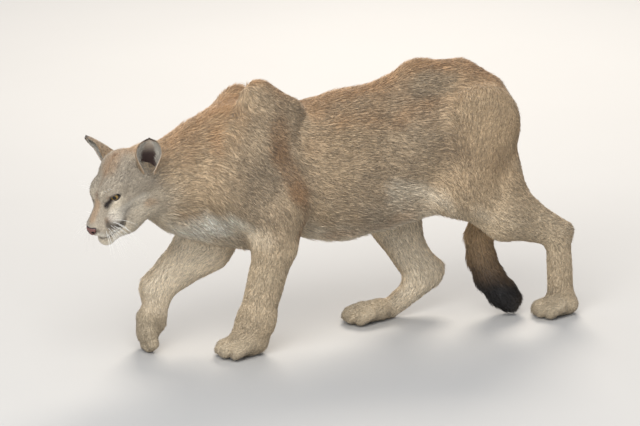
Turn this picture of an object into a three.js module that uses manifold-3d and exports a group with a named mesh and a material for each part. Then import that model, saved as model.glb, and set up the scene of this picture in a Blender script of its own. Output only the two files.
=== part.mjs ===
// A life-size cougar in mid-stride, head low, as a museum shows it.
// Millimetres, +Z up, the animal faces -X and its left side faces -Y.
// The body is one smooth distance field of tapered muscle masses along the skeleton. Each named
// part is that field meshed on a grid of its own and parted from its neighbours by thin cuts.

import * as THREE from "three";
import { mergeVertices } from "three/addons/utils/BufferGeometryUtils.js";
import Module from "manifold-3d";

const wasm = await Module();
wasm.setup();

// Driving dimensions
const CUT_GAP = 0.3; // clear width of a cut between two parts
const GROUND = 0; // height of the soles
const HEAD_YAW = 23; // degrees the head is turned to its left
const HEAD_PITCH = 38; // degrees the face is tipped down
const EYE_MIDPOINT = [-726, -66, 438]; // point between the eyes, the head's own origin
const EYE_RADIUS = 15.5;
const EAR_HEIGHT = 80;
const EAR_WIDTH = 31; // half width at the widest
const TOE_COUNT = 4;

// Sizes of the cells that each part is meshed with: along, across and up
const CELL = {
  torso: [34, 24, 29],
  neck: [28, 26, 26],
  head: [10, 10.5, 10.5],
  leg: [17, 16, 28],
  paw: [12, 12, 10.5],
};

// Colour and roughness of the parts; a part that isn't listed here has the colour of the flank
const FLANK = { color: 0xa58a6b, roughness: 0.9 };
const FINISH = {
  head: { color: 0x9a8f7f, roughness: 0.9 },
  neck: { color: 0xa08c70, roughness: 0.9 },
  left_ear: { color: 0x8d7860, roughness: 0.9 },
  right_ear: { color: 0x8d7860, roughness: 0.9 },
  left_eye: { color: 0xb08a3e, roughness: 0.1 },
  right_eye: { color: 0xb08a3e, roughness: 0.1 },
  nose: { color: 0x4a3a37, roughness: 0.5 },
  left_forepaw: { color: 0xb3a68f, roughness: 0.9 },
  right_forepaw: { color: 0xb3a68f, roughness: 0.9 },
  left_hind_paw: { color: 0xb3a68f, roughness: 0.9 },
  right_hind_paw: { color: 0xb3a68f, roughness: 0.9 },
  tail: { color: 0x94785a, roughness: 0.9 },
  tail_tip: { color: 0x1d1512, roughness: 0.9 },
};

// Vector helpers on plain arrays
const add = (a, b) => [a[0] + b[0], a[1] + b[1], a[2] + b[2]];
const sub = (a, b) => [a[0] - b[0], a[1] - b[1], a[2] - b[2]];
const scale = (a, s) => [a[0] * s, a[1] * s, a[2] * s];
const dot = (a, b) => a[0] * b[0] + a[1] * b[1] + a[2] * b[2];
const unit = (a) => scale(a, 1 / Math.hypot(...a));
const radians = THREE.MathUtils.degToRad;

// The head's own axes: forward along the face, left, and up
const facing = [-Math.cos(radians(HEAD_YAW)), -Math.sin(radians(HEAD_YAW)), 0];
const fall = Math.sin(radians(HEAD_PITCH));
const level = Math.cos(radians(HEAD_PITCH));
const headForward = add(scale(facing, level), [0, 0, -fall]);
const headUp = add(scale(facing, fall), [0, 0, level]);
const headLeft = [Math.sin(radians(HEAD_YAW)), -Math.cos(radians(HEAD_YAW)), 0];
const inHead = (forward, left, up) =>
  add(EYE_MIDPOINT, add(scale(headForward, forward), add(scale(headLeft, left), scale(headUp, up))));
const headDirection = (forward, left, up) =>
  unit(add(scale(headForward, forward), add(scale(headLeft, left), scale(headUp, up))));

// Blending of distances: k is the width of the fillet
function smoothMin(a, b, k) {
  const h = Math.max(k - Math.abs(a - b), 0) / k;
  return Math.min(a, b) - h * h * k * 0.25;
}

// A muscle mass: a tapered capsule from a to b, whose width across `across` is `wide` times its depth
function mass(a, b, ra, rb, wide = 1, across = [0, 1, 0]) {
  const ab = sub(b, a);
  const length2 = Math.max(dot(ab, ab), 1e-9);
  return (p) => {
    const t = Math.min(Math.max(dot(sub(p, a), ab) / length2, 0), 1);
    const q = sub(p, add(a, scale(ab, t)));
    const r = ra + t * (rb - ra);
    const s = dot(q, q);
    if (wide === 1) return Math.sqrt(s + 1e-6) - r;
    const m = dot(q, across) ** 2;
    const reach = Math.sqrt(s + m * (1 / wide ** 2 - 1) + 1e-6);
    const steep = Math.sqrt(s + m * (1 / wide ** 4 - 1) + 1e-6);
    return ((reach - r) * reach) / steep;
  };
}
function blend(masses, k) {
  return (p) => masses.reduce((d, m) => smoothMin(d, m(p), k), 1e3);
}

// Trunk, from the breast to the rump
const trunk = blend(
  [
    mass([-400, 0, 422], [-90, 0, 414], 136, 166, 0.64),
    mass([-90, 0, 414], [130, 0, 430], 166, 146, 0.72),
    mass([110, 0, 470], [248, 0, 508], 140, 104, 0.84),
    mass([250, 0, 520], [298, 0, 470], 84, 68, 0.9),
    mass([-210, 0, 546], [-80, 0, 552], 34, 34),
    mass([-80, 0, 552], [112, 0, 612], 34, 36),
    mass([112, 0, 612], [212, 0, 602], 36, 48),
    mass([-500, 0, 385], [-340, 0, 330], 78, 84, 0.85),
    mass([20, -30, 318], [150, -80, 345], 46, 42, 0.6),
    mass([20, 30, 318], [150, 80, 345], 46, 42, 0.6),
  ],
  50,
);
const neck = blend(
  [
    mass([-380, 0, 492], [-560, -18, 452], 112, 80, 0.8),
    mass([-440, 0, 420], [-572, -20, 430], 100, 70, 0.85),
  ],
  40,
);

// Shoulder blade and the muscle behind it; the blade of the leg that bears weight stands highest
function shoulder(side, back, lift) {
  return blend(
    [
      mass([-330 + back, side * 56, 626 + lift], [-392 + back, side * 98, 440 + lift], 36, 70, 0.56),
      mass([-318 + back, side * 54, 628 + lift], [-248 + back, side * 50, 590 + lift], 34, 32, 0.8),
      mass([-296 + back, side * 70, 575 + lift], [-285 + back, side * 98, 370 + lift / 2], 46, 58, 0.5),
      mass([-392 + back, side * 96, 420 + lift], [-300 + back, side * 98, 330 + lift / 3], 66, 50, 0.62),
    ],
    30,
  );
}

// Legs as chains of masses from the body down to the foot
const leftForeleg = [
  mass([-285, -96, 345], [-298, -90, 270], 54, 52, 0.78),
  mass([-298, -90, 270], [-338, -64, 82], 52, 44, 0.78),
  mass([-338, -64, 82], [-356, -60, 44], 44, 43, 0.92),
];
const rightForeleg = [
  mass([-330, 88, 322], [-410, 78, 246], 62, 70, 0.7),
  mass([-410, 78, 244], [-538, 66, 156], 70, 42, 0.74),
  mass([-540, 66, 150], [-548, 62, 72], 35, 30, 0.95),
];
const leftHindLeg = [
  mass([242, -82, 500], [182, -100, 350], 102, 66, 0.52),
  mass([278, -58, 460], [316, -92, 306], 62, 46, 0.6),
  mass([190, -100, 350], [300, -92, 265], 62, 54, 0.62),
  mass([300, -92, 268], [428, -78, 212], 54, 34, 0.68),
  mass([312, -84, 326], [424, -78, 238], 36, 22, 0.7),
  mass([425, -78, 220], [468, -75, 212], 26, 20, 0.75),
  mass([450, -76, 196], [458, -72, 60], 33, 34, 0.82),
];
const rightHindLeg = [
  mass([242, 82, 500], [120, 98, 360], 102, 74, 0.52),
  mass([278, 58, 470], [222, 86, 368], 64, 56, 0.62),
  mass([110, 98, 350], [98, 92, 240], 72, 62, 0.66),
  mass([83, 92, 240], [142, 76, 122], 61, 46, 0.7),
  mass([158, 74, 124], [192, 72, 112], 28, 21, 0.75),
  mass([170, 74, 92], [72, 68, 27], 36, 27, 0.82),
];
// The tail: centre line and thickness
const TAIL_LINE = [
  [276, 0, 540],
  [318, 1, 470],
  [318, 1, 370],
  [288, 0, 270],
  [274, 0, 200],
  [277, -5, 147],
  [294, -12, 100],
  [322, -20, 60],
  [340, -25, 40],
];
const TAIL_RADIUS = [46, 36, 32, 32, 34, 36, 37, 36, 34];
const tail = blend(
  TAIL_LINE.slice(1).map((b, i) => mass(TAIL_LINE[i], b, TAIL_RADIUS[i], TAIL_RADIUS[i + 1])),
  14,
);

// Skull, cheeks, muzzle and jaw in the head's own axes: forward, left, up from between the eyes
const headMass = (a, b, ra, rb, wide = 1) => mass(inHead(...a), inHead(...b), ra, rb, wide, headLeft);
const bothSides = (make) => [make(1), make(-1)];
const skull = blend(
  [
    headMass([-38, 0, -16], [-80, 0, -16], 45, 56, 0.98),
    headMass([-80, 0, -18], [-130, 0, -52], 55, 50, 1),
    headMass([-10, 0, -20], [56, 0, -44], 27, 20, 0.95),
    ...bothSides((s) => headMass([-14, s * 28, -34], [-84, s * 42, -40], 25, 36)),
    ...bothSides((s) => headMass([0, s * 18, 8], [-30, s * 40, 7], 11, 14)),
  ],
  22,
);
const muzzle = blend(
  [
    ...bothSides((s) => headMass([16, s * 19, -58], [50, s * 15, -55], 26, 23)),
    headMass([40, 0, -40], [64, 0, -45], 18, 14, 1.15),
  ],
  10,
);
const jaw = blend(
  [
    headMass([-20, 0, -92], [52, 0, -90], 34, 22),
    ...bothSides((s) => headMass([-84, s * 30, -88], [-10, s * 18, -92], 42, 34)),
    headMass([-90, 0, -74], [-140, 0, -60], 48, 50),
  ],
  24,
);

// Eyes: an eyeball in each socket behind a slanting almond opening with a raised rim of lids
const EYE_CENTRE = [-15.7, 28.8, -6.9];
const EYE_DIRECTION = [0.74, 0.64, 0.2];
const EYE_SLANT = [-0.62, 0.74, 0.05];
const EYE_OPENING = { half_length: 14.5, half_height: 7 };
const eyeCentre = (s) => inHead(EYE_CENTRE[0], EYE_CENTRE[1] * s, EYE_CENTRE[2]);
const lids = bothSides((s) => {
  const c = eyeCentre(s);
  return mass(c, add(c, [0, 0, 0.1]), EYE_RADIUS + 3.5, EYE_RADIUS + 3.5);
});
function head(p) {
  let d = smoothMin(skull(p), muzzle(p), 14);
  for (const lid of lids) d = smoothMin(d, lid(p), 10);
  return smoothMin(d, jaw(p), 9);
}

// A paw: a palm and four toes fanned about its heading, all resting on the ground plane or hanging
function paw(centre, heading, tilt, size) {
  const turn = new THREE.Matrix4().makeRotationZ(radians(heading));
  turn.multiply(new THREE.Matrix4().makeRotationY(radians(tilt)));
  const at = (forward, left, up) => {
    const v = new THREE.Vector3(-forward * size, -left * size, up * size).applyMatrix4(turn);
    return add(centre, [v.x, v.y, v.z]);
  };
  const across = sub(at(0, 1, 0), at(0, 0, 0));
  const masses = [mass(at(-20, 0, 25), at(22, 0, 22), 27, 26, 1.3, unit(across))];
  for (let toe = 0; toe < TOE_COUNT; toe++) {
    const spread = toe - (TOE_COUNT - 1) / 2;
    const reach = 56 - 7 * spread * spread;
    masses.push(mass(at(reach - 30, spread * 17, 26), at(reach, spread * 21, 17), 17, 16));
  }
  return { field: blend(masses, 5), at };
}
const paws = {
  left_forepaw: paw([-362, -64, 0], 3, 0, 1.16),
  right_forepaw: paw([-546, 62, 61], 0, -84, 0.9),
  left_hind_paw: paw([454, -76, 0], 2, 0, 1.03),
  right_hind_paw: paw([16, 64, 0], 0, 0, 1.06),
};

const withPaw = (leg, name) => (p) => smoothMin(blend(leg, 26)(p), paws[name].field(p), 18);
const limbs = [
  [withPaw(leftForeleg, "left_forepaw"), 30],
  [withPaw(rightForeleg, "right_forepaw"), 40],
  [withPaw(leftHindLeg, "left_hind_paw"), 34],
  [withPaw(rightHindLeg, "right_hind_paw"), 34],
];
const shoulders = [shoulder(-1, 0, 0), shoulder(1, -8, -38)];

// The whole animal's surface is where this field is zero, with the soles flat on the ground
function animal(p) {
  let d = smoothMin(trunk(p), neck(p), 60);
  for (const s of shoulders) d = smoothMin(d, s(p), 26);
  for (const [limb, fillet] of limbs) d = smoothMin(d, limb(p), fillet);
  d = smoothMin(d, tail(p), 10);
  d = smoothMin(d, head(p), 24);
  return Math.max(d, GROUND - p[2]);
}

// Meshing: one vertex in each grid cell that the surface crosses, moved onto the surface
function netMesh(shape, box, cell) {
  const [low, high] = box;
  const field = (p) => {
    let d = shape(p);
    for (let i = 0; i < 3; i++) {
      const inset = cell[i] * 1.4;
      d = Math.max(d, low[i] + inset - p[i], p[i] + inset - high[i]);
    }
    return d;
  };
  const n = [0, 1, 2].map((i) => Math.ceil((high[i] - low[i]) / cell[i]) + 1);
  const index = (i, j, k) => (i * n[1] + j) * n[2] + k;
  const value = new Float64Array(n[0] * n[1] * n[2]);
  const point = (i, j, k) => [low[0] + i * cell[0], low[1] + j * cell[1], low[2] + k * cell[2]];
  for (let i = 0; i < n[0]; i++) {
    for (let j = 0; j < n[1]; j++) {
      for (let k = 0; k < n[2]; k++) value[index(i, j, k)] = field(point(i, j, k));
    }
  }
  const vertexOf = new Map();
  const positions = [];
  const corner = [0, 1, 2, 3, 4, 5, 6, 7].map((c) => [(c >> 2) & 1, (c >> 1) & 1, c & 1]);
  for (let i = 0; i < n[0] - 1; i++) {
    for (let j = 0; j < n[1] - 1; j++) {
      for (let k = 0; k < n[2] - 1; k++) {
        const v = corner.map(([a, b, c]) => value[index(i + a, j + b, k + c)]);
        const inside = v.filter((x) => x < 0).length;
        if (inside === 0 || inside === 8) continue;
        let sum = [0, 0, 0];
        let count = 0;
        for (let a = 0; a < 8; a++) {
          for (const step of [1, 2, 4]) {
            const b = a | step;
            if (b === a || v[a] < 0 === v[b] < 0) continue;
            const t = v[a] / (v[a] - v[b]);
            sum = add(sum, add(corner[a], scale(sub(corner[b], corner[a]), t)));
            count++;
          }
        }
        const offset = sum.map((x, axis) => (x / count) * cell[axis]);
        vertexOf.set(index(i, j, k), positions.length);
        positions.push(toSurface(field, add(point(i, j, k), offset), Math.min(...cell)));
      }
    }
  }
  const triangles = [];
  const cellAt = (c) => vertexOf.get(index(...c));
  for (let axis = 0; axis < 3; axis++) {
    const u = (axis + 1) % 3;
    const w = (axis + 2) % 3;
    for (let i = 0; i < n[0]; i++) {
      for (let j = 0; j < n[1]; j++) {
        for (let k = 0; k < n[2]; k++) {
          const c = [i, j, k];
          if (c[axis] >= n[axis] - 1) continue;
          if (c[u] < 1 || c[w] < 1 || c[u] >= n[u] - 1 || c[w] >= n[w] - 1) continue;
          const far = [...c];
          far[axis]++;
          const here = value[index(...c)] < 0;
          if (here === value[index(...far)] < 0) continue;
          const quad = [[1, 1], [0, 1], [0, 0], [1, 0]].map(([du, dw]) => {
            const q = [...c];
            q[u] -= du;
            q[w] -= dw;
            return cellAt(q);
          });
          if (!here) quad.reverse();
          const [a, b, d, e] = quad.map((q) => positions[q]);
          const split = Math.hypot(...sub(a, d)) < Math.hypot(...sub(b, e));
          const halves = split ? [0, 1, 2, 0, 2, 3] : [0, 1, 3, 1, 2, 3];
          triangles.push(...halves.map((q) => quad[q]));
        }
      }
    }
  }
  return solidOf(positions.flat(), triangles);
}
function toSurface(field, p, limit) {
  const reach = 0.5;
  for (let step = 0; step < 2; step++) {
    const d = field(p);
    const g = [0, 1, 2].map((i) => {
      const e = [0, 0, 0];
      e[i] = reach;
      return (field(add(p, e)) - field(sub(p, e))) / (2 * reach);
    });
    const move = Math.max(-limit, Math.min(limit, d / (dot(g, g) + 1e-9)));
    p = sub(p, scale(g, move * 0.9));
  }
  return p;
}

// Solids and cutting
function solidOf(positions, triangles) {
  const vertProperties = new Float32Array(positions);
  const triVerts = new Uint32Array(triangles);
  return new wasm.Manifold(new wasm.Mesh({ numProp: 3, vertProperties, triVerts }));
}
function solidOfGeometry(geometry, matrix) {
  const g = geometry.clone();
  g.deleteAttribute("normal");
  g.deleteAttribute("uv");
  if (matrix) g.applyMatrix4(matrix);
  const merged = mergeVertices(g, 1e-3);
  return solidOf(Array.from(merged.attributes.position.array), Array.from(merged.index.array));
}
// A box that starts at `at` and runs `length` along `along`, `side` wide each way
function block(at, along, length, side, up = [0, 0, 1]) {
  const x = new THREE.Vector3(...unit(along));
  const y = new THREE.Vector3().crossVectors(new THREE.Vector3(...up), x).normalize();
  const z = new THREE.Vector3().crossVectors(x, y);
  const [wide, high] = Array.isArray(side) ? side : [side, side];
  const centre = new THREE.Vector3(...at).addScaledVector(x, length / 2);
  const matrix = new THREE.Matrix4().makeBasis(x, y, z).setPosition(centre);
  return solidOfGeometry(new THREE.BoxGeometry(length, wide, high), matrix);
}
// Corners nearer than the tolerance become one, and the faces that this closes up go. Where two
// sheets of the surface touch along an edge, their corners draw back a little from each other.
const WELD = 0.03;
const DRAW_BACK = 0.12;
function welded(solid) {
  const { kept, faces } = weldedFaces(solid.getMesh(), WELD);
  const mesh = solidOf(kept.flat(), faces.flat()).getMesh();
  const corners = [];
  for (let i = 0; i < mesh.vertProperties.length; i += mesh.numProp) {
    corners.push([...mesh.vertProperties.slice(i, i + 3)]);
  }
  const normals = corners.map(() => [0, 0, 0]);
  for (let t = 0; t < mesh.triVerts.length; t += 3) {
    const face = [0, 1, 2].map((d) => mesh.triVerts[t + d]);
    const [a, b, c] = face.map((i) => new THREE.Vector3(...corners[i]));
    const normal = b.sub(a).cross(c.sub(a)).toArray();
    for (const i of face) normals[i] = add(normals[i], normal);
  }
  const place = (p) => p.map((x) => x.toFixed(3)).join();
  const shared = new Map();
  for (const p of corners) shared.set(place(p), (shared.get(place(p)) ?? 0) + 1);
  const moved = corners.map((p, i) => {
    if (shared.get(place(p)) === 1) return p;
    return sub(p, scale(unit(normals[i]), DRAW_BACK));
  });
  return solidOf(moved.flat(), Array.from(mesh.triVerts));
}
function weldedFaces(mesh, tolerance) {
  const corner = (i) => [0, 1, 2].map((d) => mesh.vertProperties[i * mesh.numProp + d]);
  const cells = new Map();
  const kept = [];
  const renamed = [];
  for (let i = 0; i < mesh.vertProperties.length / mesh.numProp; i++) {
    const p = corner(i);
    const home = p.map((x) => Math.floor(x / tolerance));
    let found = -1;
    for (let c = 0; c < 27 && found < 0; c++) {
      const beside = [c % 3, Math.floor(c / 3) % 3, Math.floor(c / 9)].map((x, axis) => home[axis] + x - 1);
      for (const k of cells.get(beside.join()) ?? []) {
        if (Math.hypot(...sub(kept[k], p)) < tolerance) found = k;
      }
    }
    if (found < 0) {
      found = kept.push(p) - 1;
      cells.set(home.join(), [...(cells.get(home.join()) ?? []), found]);
    }
    renamed.push(found);
  }
  const faces = new Map();
  for (let t = 0; t < mesh.triVerts.length; t += 3) {
    const face = [0, 1, 2].map((d) => renamed[mesh.triVerts[t + d]]);
    if (new Set(face).size < 3) continue;
    const key = [...face].sort((a, b) => a - b).join();
    if (faces.has(key)) faces.delete(key);
    else faces.set(key, face);
  }
  return { kept, faces: [...faces.values()] };
}
const largest = (solid) => solid.decompose().sort((a, b) => b.volume() - a.volume())[0];

// Where each part is cut from the next: a point on the cut, the way towards the smaller part, how far
// the smaller part runs that way, and how wide and high the cut is
const CUTS = {
  head: { at: [-600, -30, 455], along: [-1, -0.2, 0], length: 270, side: [420, 420] },
  neck: { at: [-482, 0, 488], along: [-0.94, 0, 0.34], length: 420, side: [420, 330] },
  left_foreleg: { at: [-310, -90, 286], along: [-0.12, 0.05, -1], length: 330, side: [130, 150] },
  left_forepaw: { at: [-345, -56, 62], along: [-0.1, 0, -1], length: 120, side: [220, 260] },
  right_foreleg: { at: [-405, 80, 262], along: [-0.83, 0.1, -0.55], length: 320, side: [120, 190] },
  right_forepaw: { at: [-561, 62, 98], along: [-0.25, 0, -0.97], length: 160, side: [220, 260] },
  left_hind_leg: { at: [268, -104, 304], along: [0.72, -0.1, -0.69], length: 480, side: [130, 260] },
  left_hind_paw: { at: [452, -71, 70], along: [0.05, 0, -1], length: 160, side: [220, 300] },
  right_hind_leg: { at: [104, 98, 282], along: [-0.02, 0.25, -0.97], length: 400, side: [140, 300] },
  right_hind_paw: { at: [88, 69, 52], along: [-0.86, 0, -0.5], length: 200, side: [220, 150] },
  tail: { at: [318, 0, 398], along: [-0.12, 0, -1], length: 420, side: [84, 140] },
  tail_tip: { at: [284, -13, 118], along: [0.35, -0.1, -0.93], length: 200, side: [200, 200] },
};
function region(cut, gap = 0) {
  const start = sub(cut.at, scale(unit(cut.along), gap));
  const side = cut.side.map((w) => w + 2 * gap);
  return block(start, cut.along, cut.length + gap, side);
}

// Mesh one part inside a box, then keep what lies past its own cut and short of the cuts beyond it
function parted(name, box, cell, beyond = []) {
  let solid = netMesh(animal, box, cell);
  if (CUTS[name]) solid = solid.intersect(region(CUTS[name]));
  for (const other of beyond) solid = solid.subtract(region(CUTS[other], CUT_GAP));
  return largest(solid);
}

const solids = new Map();
const torsoCuts = ["neck", "left_foreleg", "right_foreleg", "left_hind_leg", "right_hind_leg", "tail"];
solids.set("torso", parted("torso", [[-620, -190, 130], [400, 190, 700]], CELL.torso, torsoCuts));
solids.set("neck", parted("neck", [[-680, -180, 290], [-400, 180, 640]], CELL.neck, ["head"]));
solids.set("head", parted("head", [[-840, -220, 270], [-540, 130, 600]], CELL.head));
const limbParts = [
  ["left_foreleg", [[-430, -190, 0], [-190, -10, 370]], CELL.leg, ["left_forepaw"]],
  ["left_forepaw", [[-480, -140, -20], [-280, 30, 100]], CELL.paw, []],
  ["right_foreleg", [[-640, 0, 40], [-280, 180, 380]], CELL.leg, ["right_forepaw"]],
  ["right_forepaw", [[-660, -10, -20], [-500, 140, 130]], CELL.paw, []],
  ["left_hind_leg", [[140, -200, 0], [530, -10, 430]], CELL.leg, ["left_hind_paw", "tail"]],
  ["left_hind_paw", [[330, -150, -20], [540, 10, 110]], CELL.paw, []],
  ["right_hind_leg", [[0, 0, -20], [260, 200, 390]], CELL.leg, ["right_hind_paw", "tail"]],
  ["right_hind_paw", [[-100, -20, -20], [150, 150, 110]], CELL.paw, []],
  ["tail", [[200, -80, 60], [420, 80, 480]], CELL.leg, ["tail_tip"]],
  ["tail_tip", [[210, -90, -30], [420, 70, 190]], CELL.leg, []],
];
for (const [name, box, cell, beyond] of limbParts) solids.set(name, parted(name, box, cell, beyond));

// Eyes: sockets and openings cut from the head, and the eyeballs that fill them
function almond(s, size) {
  const centre = eyeCentre(s);
  const along = headDirection(EYE_DIRECTION[0], EYE_DIRECTION[1] * s, EYE_DIRECTION[2]);
  const slant = headDirection(EYE_SLANT[0], EYE_SLANT[1] * s, EYE_SLANT[2]);
  const x = unit(sub(slant, scale(along, dot(slant, along))));
  const z = new THREE.Vector3(...along);
  const y = new THREE.Vector3().crossVectors(z, new THREE.Vector3(...x));
  const shape = new THREE.Shape();
  const [half, high] = [EYE_OPENING.half_length * size, EYE_OPENING.half_height * size];
  shape.moveTo(-half, 0);
  shape.quadraticCurveTo(0, high * 2, half, 0);
  shape.quadraticCurveTo(0, -high * 2, -half, 0);
  const geometry = new THREE.ExtrudeGeometry(shape, { depth: 30, bevelEnabled: false, curveSegments: 6 });
  const matrix = new THREE.Matrix4().makeBasis(new THREE.Vector3(...x), y, z);
  matrix.setPosition(...centre);
  return solidOfGeometry(geometry, matrix);
}
function ball(centre, radius) {
  return solidOfGeometry(new THREE.SphereGeometry(radius, 14, 9), new THREE.Matrix4().setPosition(...centre));
}
let headSolid = solids.get("head");
for (const [name, s] of [["left_eye", 1], ["right_eye", -1]]) {
  headSolid = headSolid.subtract(ball(eyeCentre(s), EYE_RADIUS + CUT_GAP));
  headSolid = headSolid.subtract(almond(s, 1));
  solids.set(name, ball(eyeCentre(s), EYE_RADIUS));
}

// The line of the mouth: a groove that runs back under the whisker pads to the corners
const MOUTH_LINE = [[92, -70], [70, -76], [48, -82], [30, -84], [16, -78], [6, -68]];
const MOUTH_GROOVE = { wide: 2.4, deep: 4 };
function ribbon(line, wide) {
  const shape = new THREE.Shape();
  const side = (i, way) => {
    const before = line[Math.max(i - 1, 0)];
    const after = line[Math.min(i + 1, line.length - 1)];
    const d = Math.hypot(after[0] - before[0], after[1] - before[1]);
    const across = [-(after[1] - before[1]) / d, (after[0] - before[0]) / d];
    return [line[i][0] + (across[0] * way * wide) / 2, line[i][1] + (across[1] * way * wide) / 2];
  };
  line.forEach((_, i) => (i ? shape.lineTo(...side(i, 1)) : shape.moveTo(...side(i, 1))));
  for (let i = line.length - 1; i >= 0; i--) shape.lineTo(...side(i, -1));
  return shape;
}
const [forwards, upwards, leftwards] = [headForward, headUp, headLeft].map((v) => new THREE.Vector3(...v));
const mouthShape = ribbon(MOUTH_LINE, MOUTH_GROOVE.wide);
const mouthSheet = new THREE.ExtrudeGeometry(mouthShape, { depth: 120, bevelEnabled: false });
const mouthPlace = new THREE.Matrix4().makeBasis(forwards, upwards, leftwards.clone().negate());
mouthPlace.setPosition(...inHead(0, 60, 0));
const muzzleBox = [[-860, -200, 290], [-640, 40, 460]];
const inner = netMesh((p) => head(p) + MOUTH_GROOVE.deep, muzzleBox, [11, 11, 11]);
headSolid = headSolid.subtract(solidOfGeometry(mouthSheet, mouthPlace).subtract(inner));

// The nose leather: a rounded wedge set into the muzzle, with a nostril on each side
const NOSE = { half_width: 17, top: -30, bottom: -52, back: 60, front: 100, proud: 1.2 };
const NOSTRIL = { radius: 3.4, length: 9, out: 8.5, height: -39, depth: 76 };
function noseCutter(grow) {
  const shape = new THREE.Shape();
  const w = NOSE.half_width + grow;
  shape.moveTo(-w, NOSE.top - 6);
  shape.quadraticCurveTo(-w, NOSE.top + grow, -w + 8, NOSE.top + grow);
  shape.lineTo(w - 8, NOSE.top + grow);
  shape.quadraticCurveTo(w, NOSE.top + grow, w, NOSE.top - 6);
  shape.quadraticCurveTo(w - 2, NOSE.bottom + 8, 4 + grow, NOSE.bottom - grow);
  shape.lineTo(-4 - grow, NOSE.bottom - grow);
  shape.quadraticCurveTo(-w + 2, NOSE.bottom + 8, -w, NOSE.top - 6);
  const depth = NOSE.front - NOSE.back + grow;
  const geometry = new THREE.ExtrudeGeometry(shape, { depth, bevelEnabled: false, curveSegments: 5 });
  const matrix = new THREE.Matrix4().makeBasis(leftwards, upwards, forwards);
  matrix.setPosition(...inHead(NOSE.back - grow, 0, 0));
  return solidOfGeometry(geometry, matrix);
}
let nose = netMesh((p) => head(p) - NOSE.proud, muzzleBox, [6, 6, 6]).intersect(noseCutter(0));
for (const s of [1, -1]) {
  const pit = new THREE.CapsuleGeometry(NOSTRIL.radius, NOSTRIL.length, 3, 8);
  const outwards = new THREE.Vector3(...headDirection(0.55, s * 0.83, 0));
  const across = new THREE.Vector3().crossVectors(outwards, upwards).normalize();
  const turned = new THREE.Matrix4().makeBasis(across, outwards, upwards);
  turned.setPosition(...inHead(NOSTRIL.depth, s * NOSTRIL.out, NOSTRIL.height));
  nose = nose.subtract(solidOfGeometry(pit, turned));
}
solids.set("nose", largest(nose));
headSolid = headSolid.subtract(noseCutter(CUT_GAP));
headSolid = largest(headSolid);

// Ears: a scoop of thin wall that wraps nearly round at its root and opens towards its tip
const EARS = {
  left_ear: { base: [-116, 57, -9], axis: [-0.34, 0.36, 0.87], opening: [0.62, 0.76, 0.1] },
  right_ear: { base: [-108, -52, -2], axis: [-0.04, -0.72, 0.68], opening: [0.88, 0.12, -0.3] },
};
const EAR_WALL = 5;
const EAR_RINGS = 8;
const EAR_STEPS = 12;
function earSolid({ base, axis, opening }) {
  const b = inHead(...base);
  const up = headDirection(...axis);
  const open = headDirection(...opening);
  const front = unit(sub(open, scale(up, dot(open, up))));
  const across = new THREE.Vector3(...up).cross(new THREE.Vector3(...front)).toArray();
  const positions = [];
  for (let ring = 0; ring <= EAR_RINGS; ring++) {
    const v = -0.12 + (ring / EAR_RINGS) * 1.12;
    const top = Math.max(v - 0.45, 0) / 0.56;
    const lower = 24 + (EAR_WIDTH - 24) * (Math.max(v, 0) / 0.45);
    const half = (v < 0.45 ? lower : EAR_WIDTH * Math.sqrt(1 - top ** 2.4)) + 1;
    const deep = 23 - 15 * Math.max(v, 0) ** 1.5;
    const wrap = radians(150 - 66 * Math.min(Math.max(v, 0) * 1.6, 1));
    for (const wall of [0, 1]) {
      const thick = wall * EAR_WALL * (1 - 0.45 * Math.max(v, 0));
      for (let i = 0; i <= EAR_STEPS; i++) {
        const turn = wrap * ((2 * i) / EAR_STEPS - 1);
        const w = Math.max(half - thick, half * 0.3);
        const d = Math.max(deep - thick, 1);
        const rise = EAR_HEIGHT * v - (wall ? Math.max(v, 0) ** 4 * 3 : 0);
        const sweep = scale(across, w * Math.sin(turn));
        const bulge = scale(front, -d * Math.cos(turn) + d * 0.3);
        positions.push(...add(b, add(scale(up, rise), add(sweep, bulge))));
      }
    }
  }
  const row = 2 * (EAR_STEPS + 1);
  const at = (ring, wall, i) => ring * row + wall * (EAR_STEPS + 1) + i;
  const triangles = [];
  const quad = (a, b2, c, d) => triangles.push(a, c, b2, a, d, c);
  for (let ring = 0; ring < EAR_RINGS; ring++) {
    for (let i = 0; i < EAR_STEPS; i++) {
      quad(at(ring, 0, i), at(ring, 0, i + 1), at(ring + 1, 0, i + 1), at(ring + 1, 0, i));
      quad(at(ring, 1, i + 1), at(ring, 1, i), at(ring + 1, 1, i), at(ring + 1, 1, i + 1));
    }
    quad(at(ring, 1, 0), at(ring, 0, 0), at(ring + 1, 0, 0), at(ring + 1, 1, 0));
    const last = EAR_STEPS;
    quad(at(ring, 0, last), at(ring, 1, last), at(ring + 1, 1, last), at(ring + 1, 0, last));
  }
  for (let i = 0; i < EAR_STEPS; i++) {
    quad(at(0, 0, i + 1), at(0, 0, i), at(0, 1, i), at(0, 1, i + 1));
    quad(at(EAR_RINGS, 0, i), at(EAR_RINGS, 0, i + 1), at(EAR_RINGS, 1, i + 1), at(EAR_RINGS, 1, i));
  }
  return solidOf(positions, triangles);
}
const headBox = [[-840, -220, 270], [-540, 130, 600]];
const around = netMesh((p) => animal(p) - CUT_GAP * 2, headBox, CELL.head);
for (const [name, ear] of Object.entries(EARS)) {
  solids.set(name, largest(earSolid(ear).subtract(around)));
}
solids.set("head", headSolid);

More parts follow.
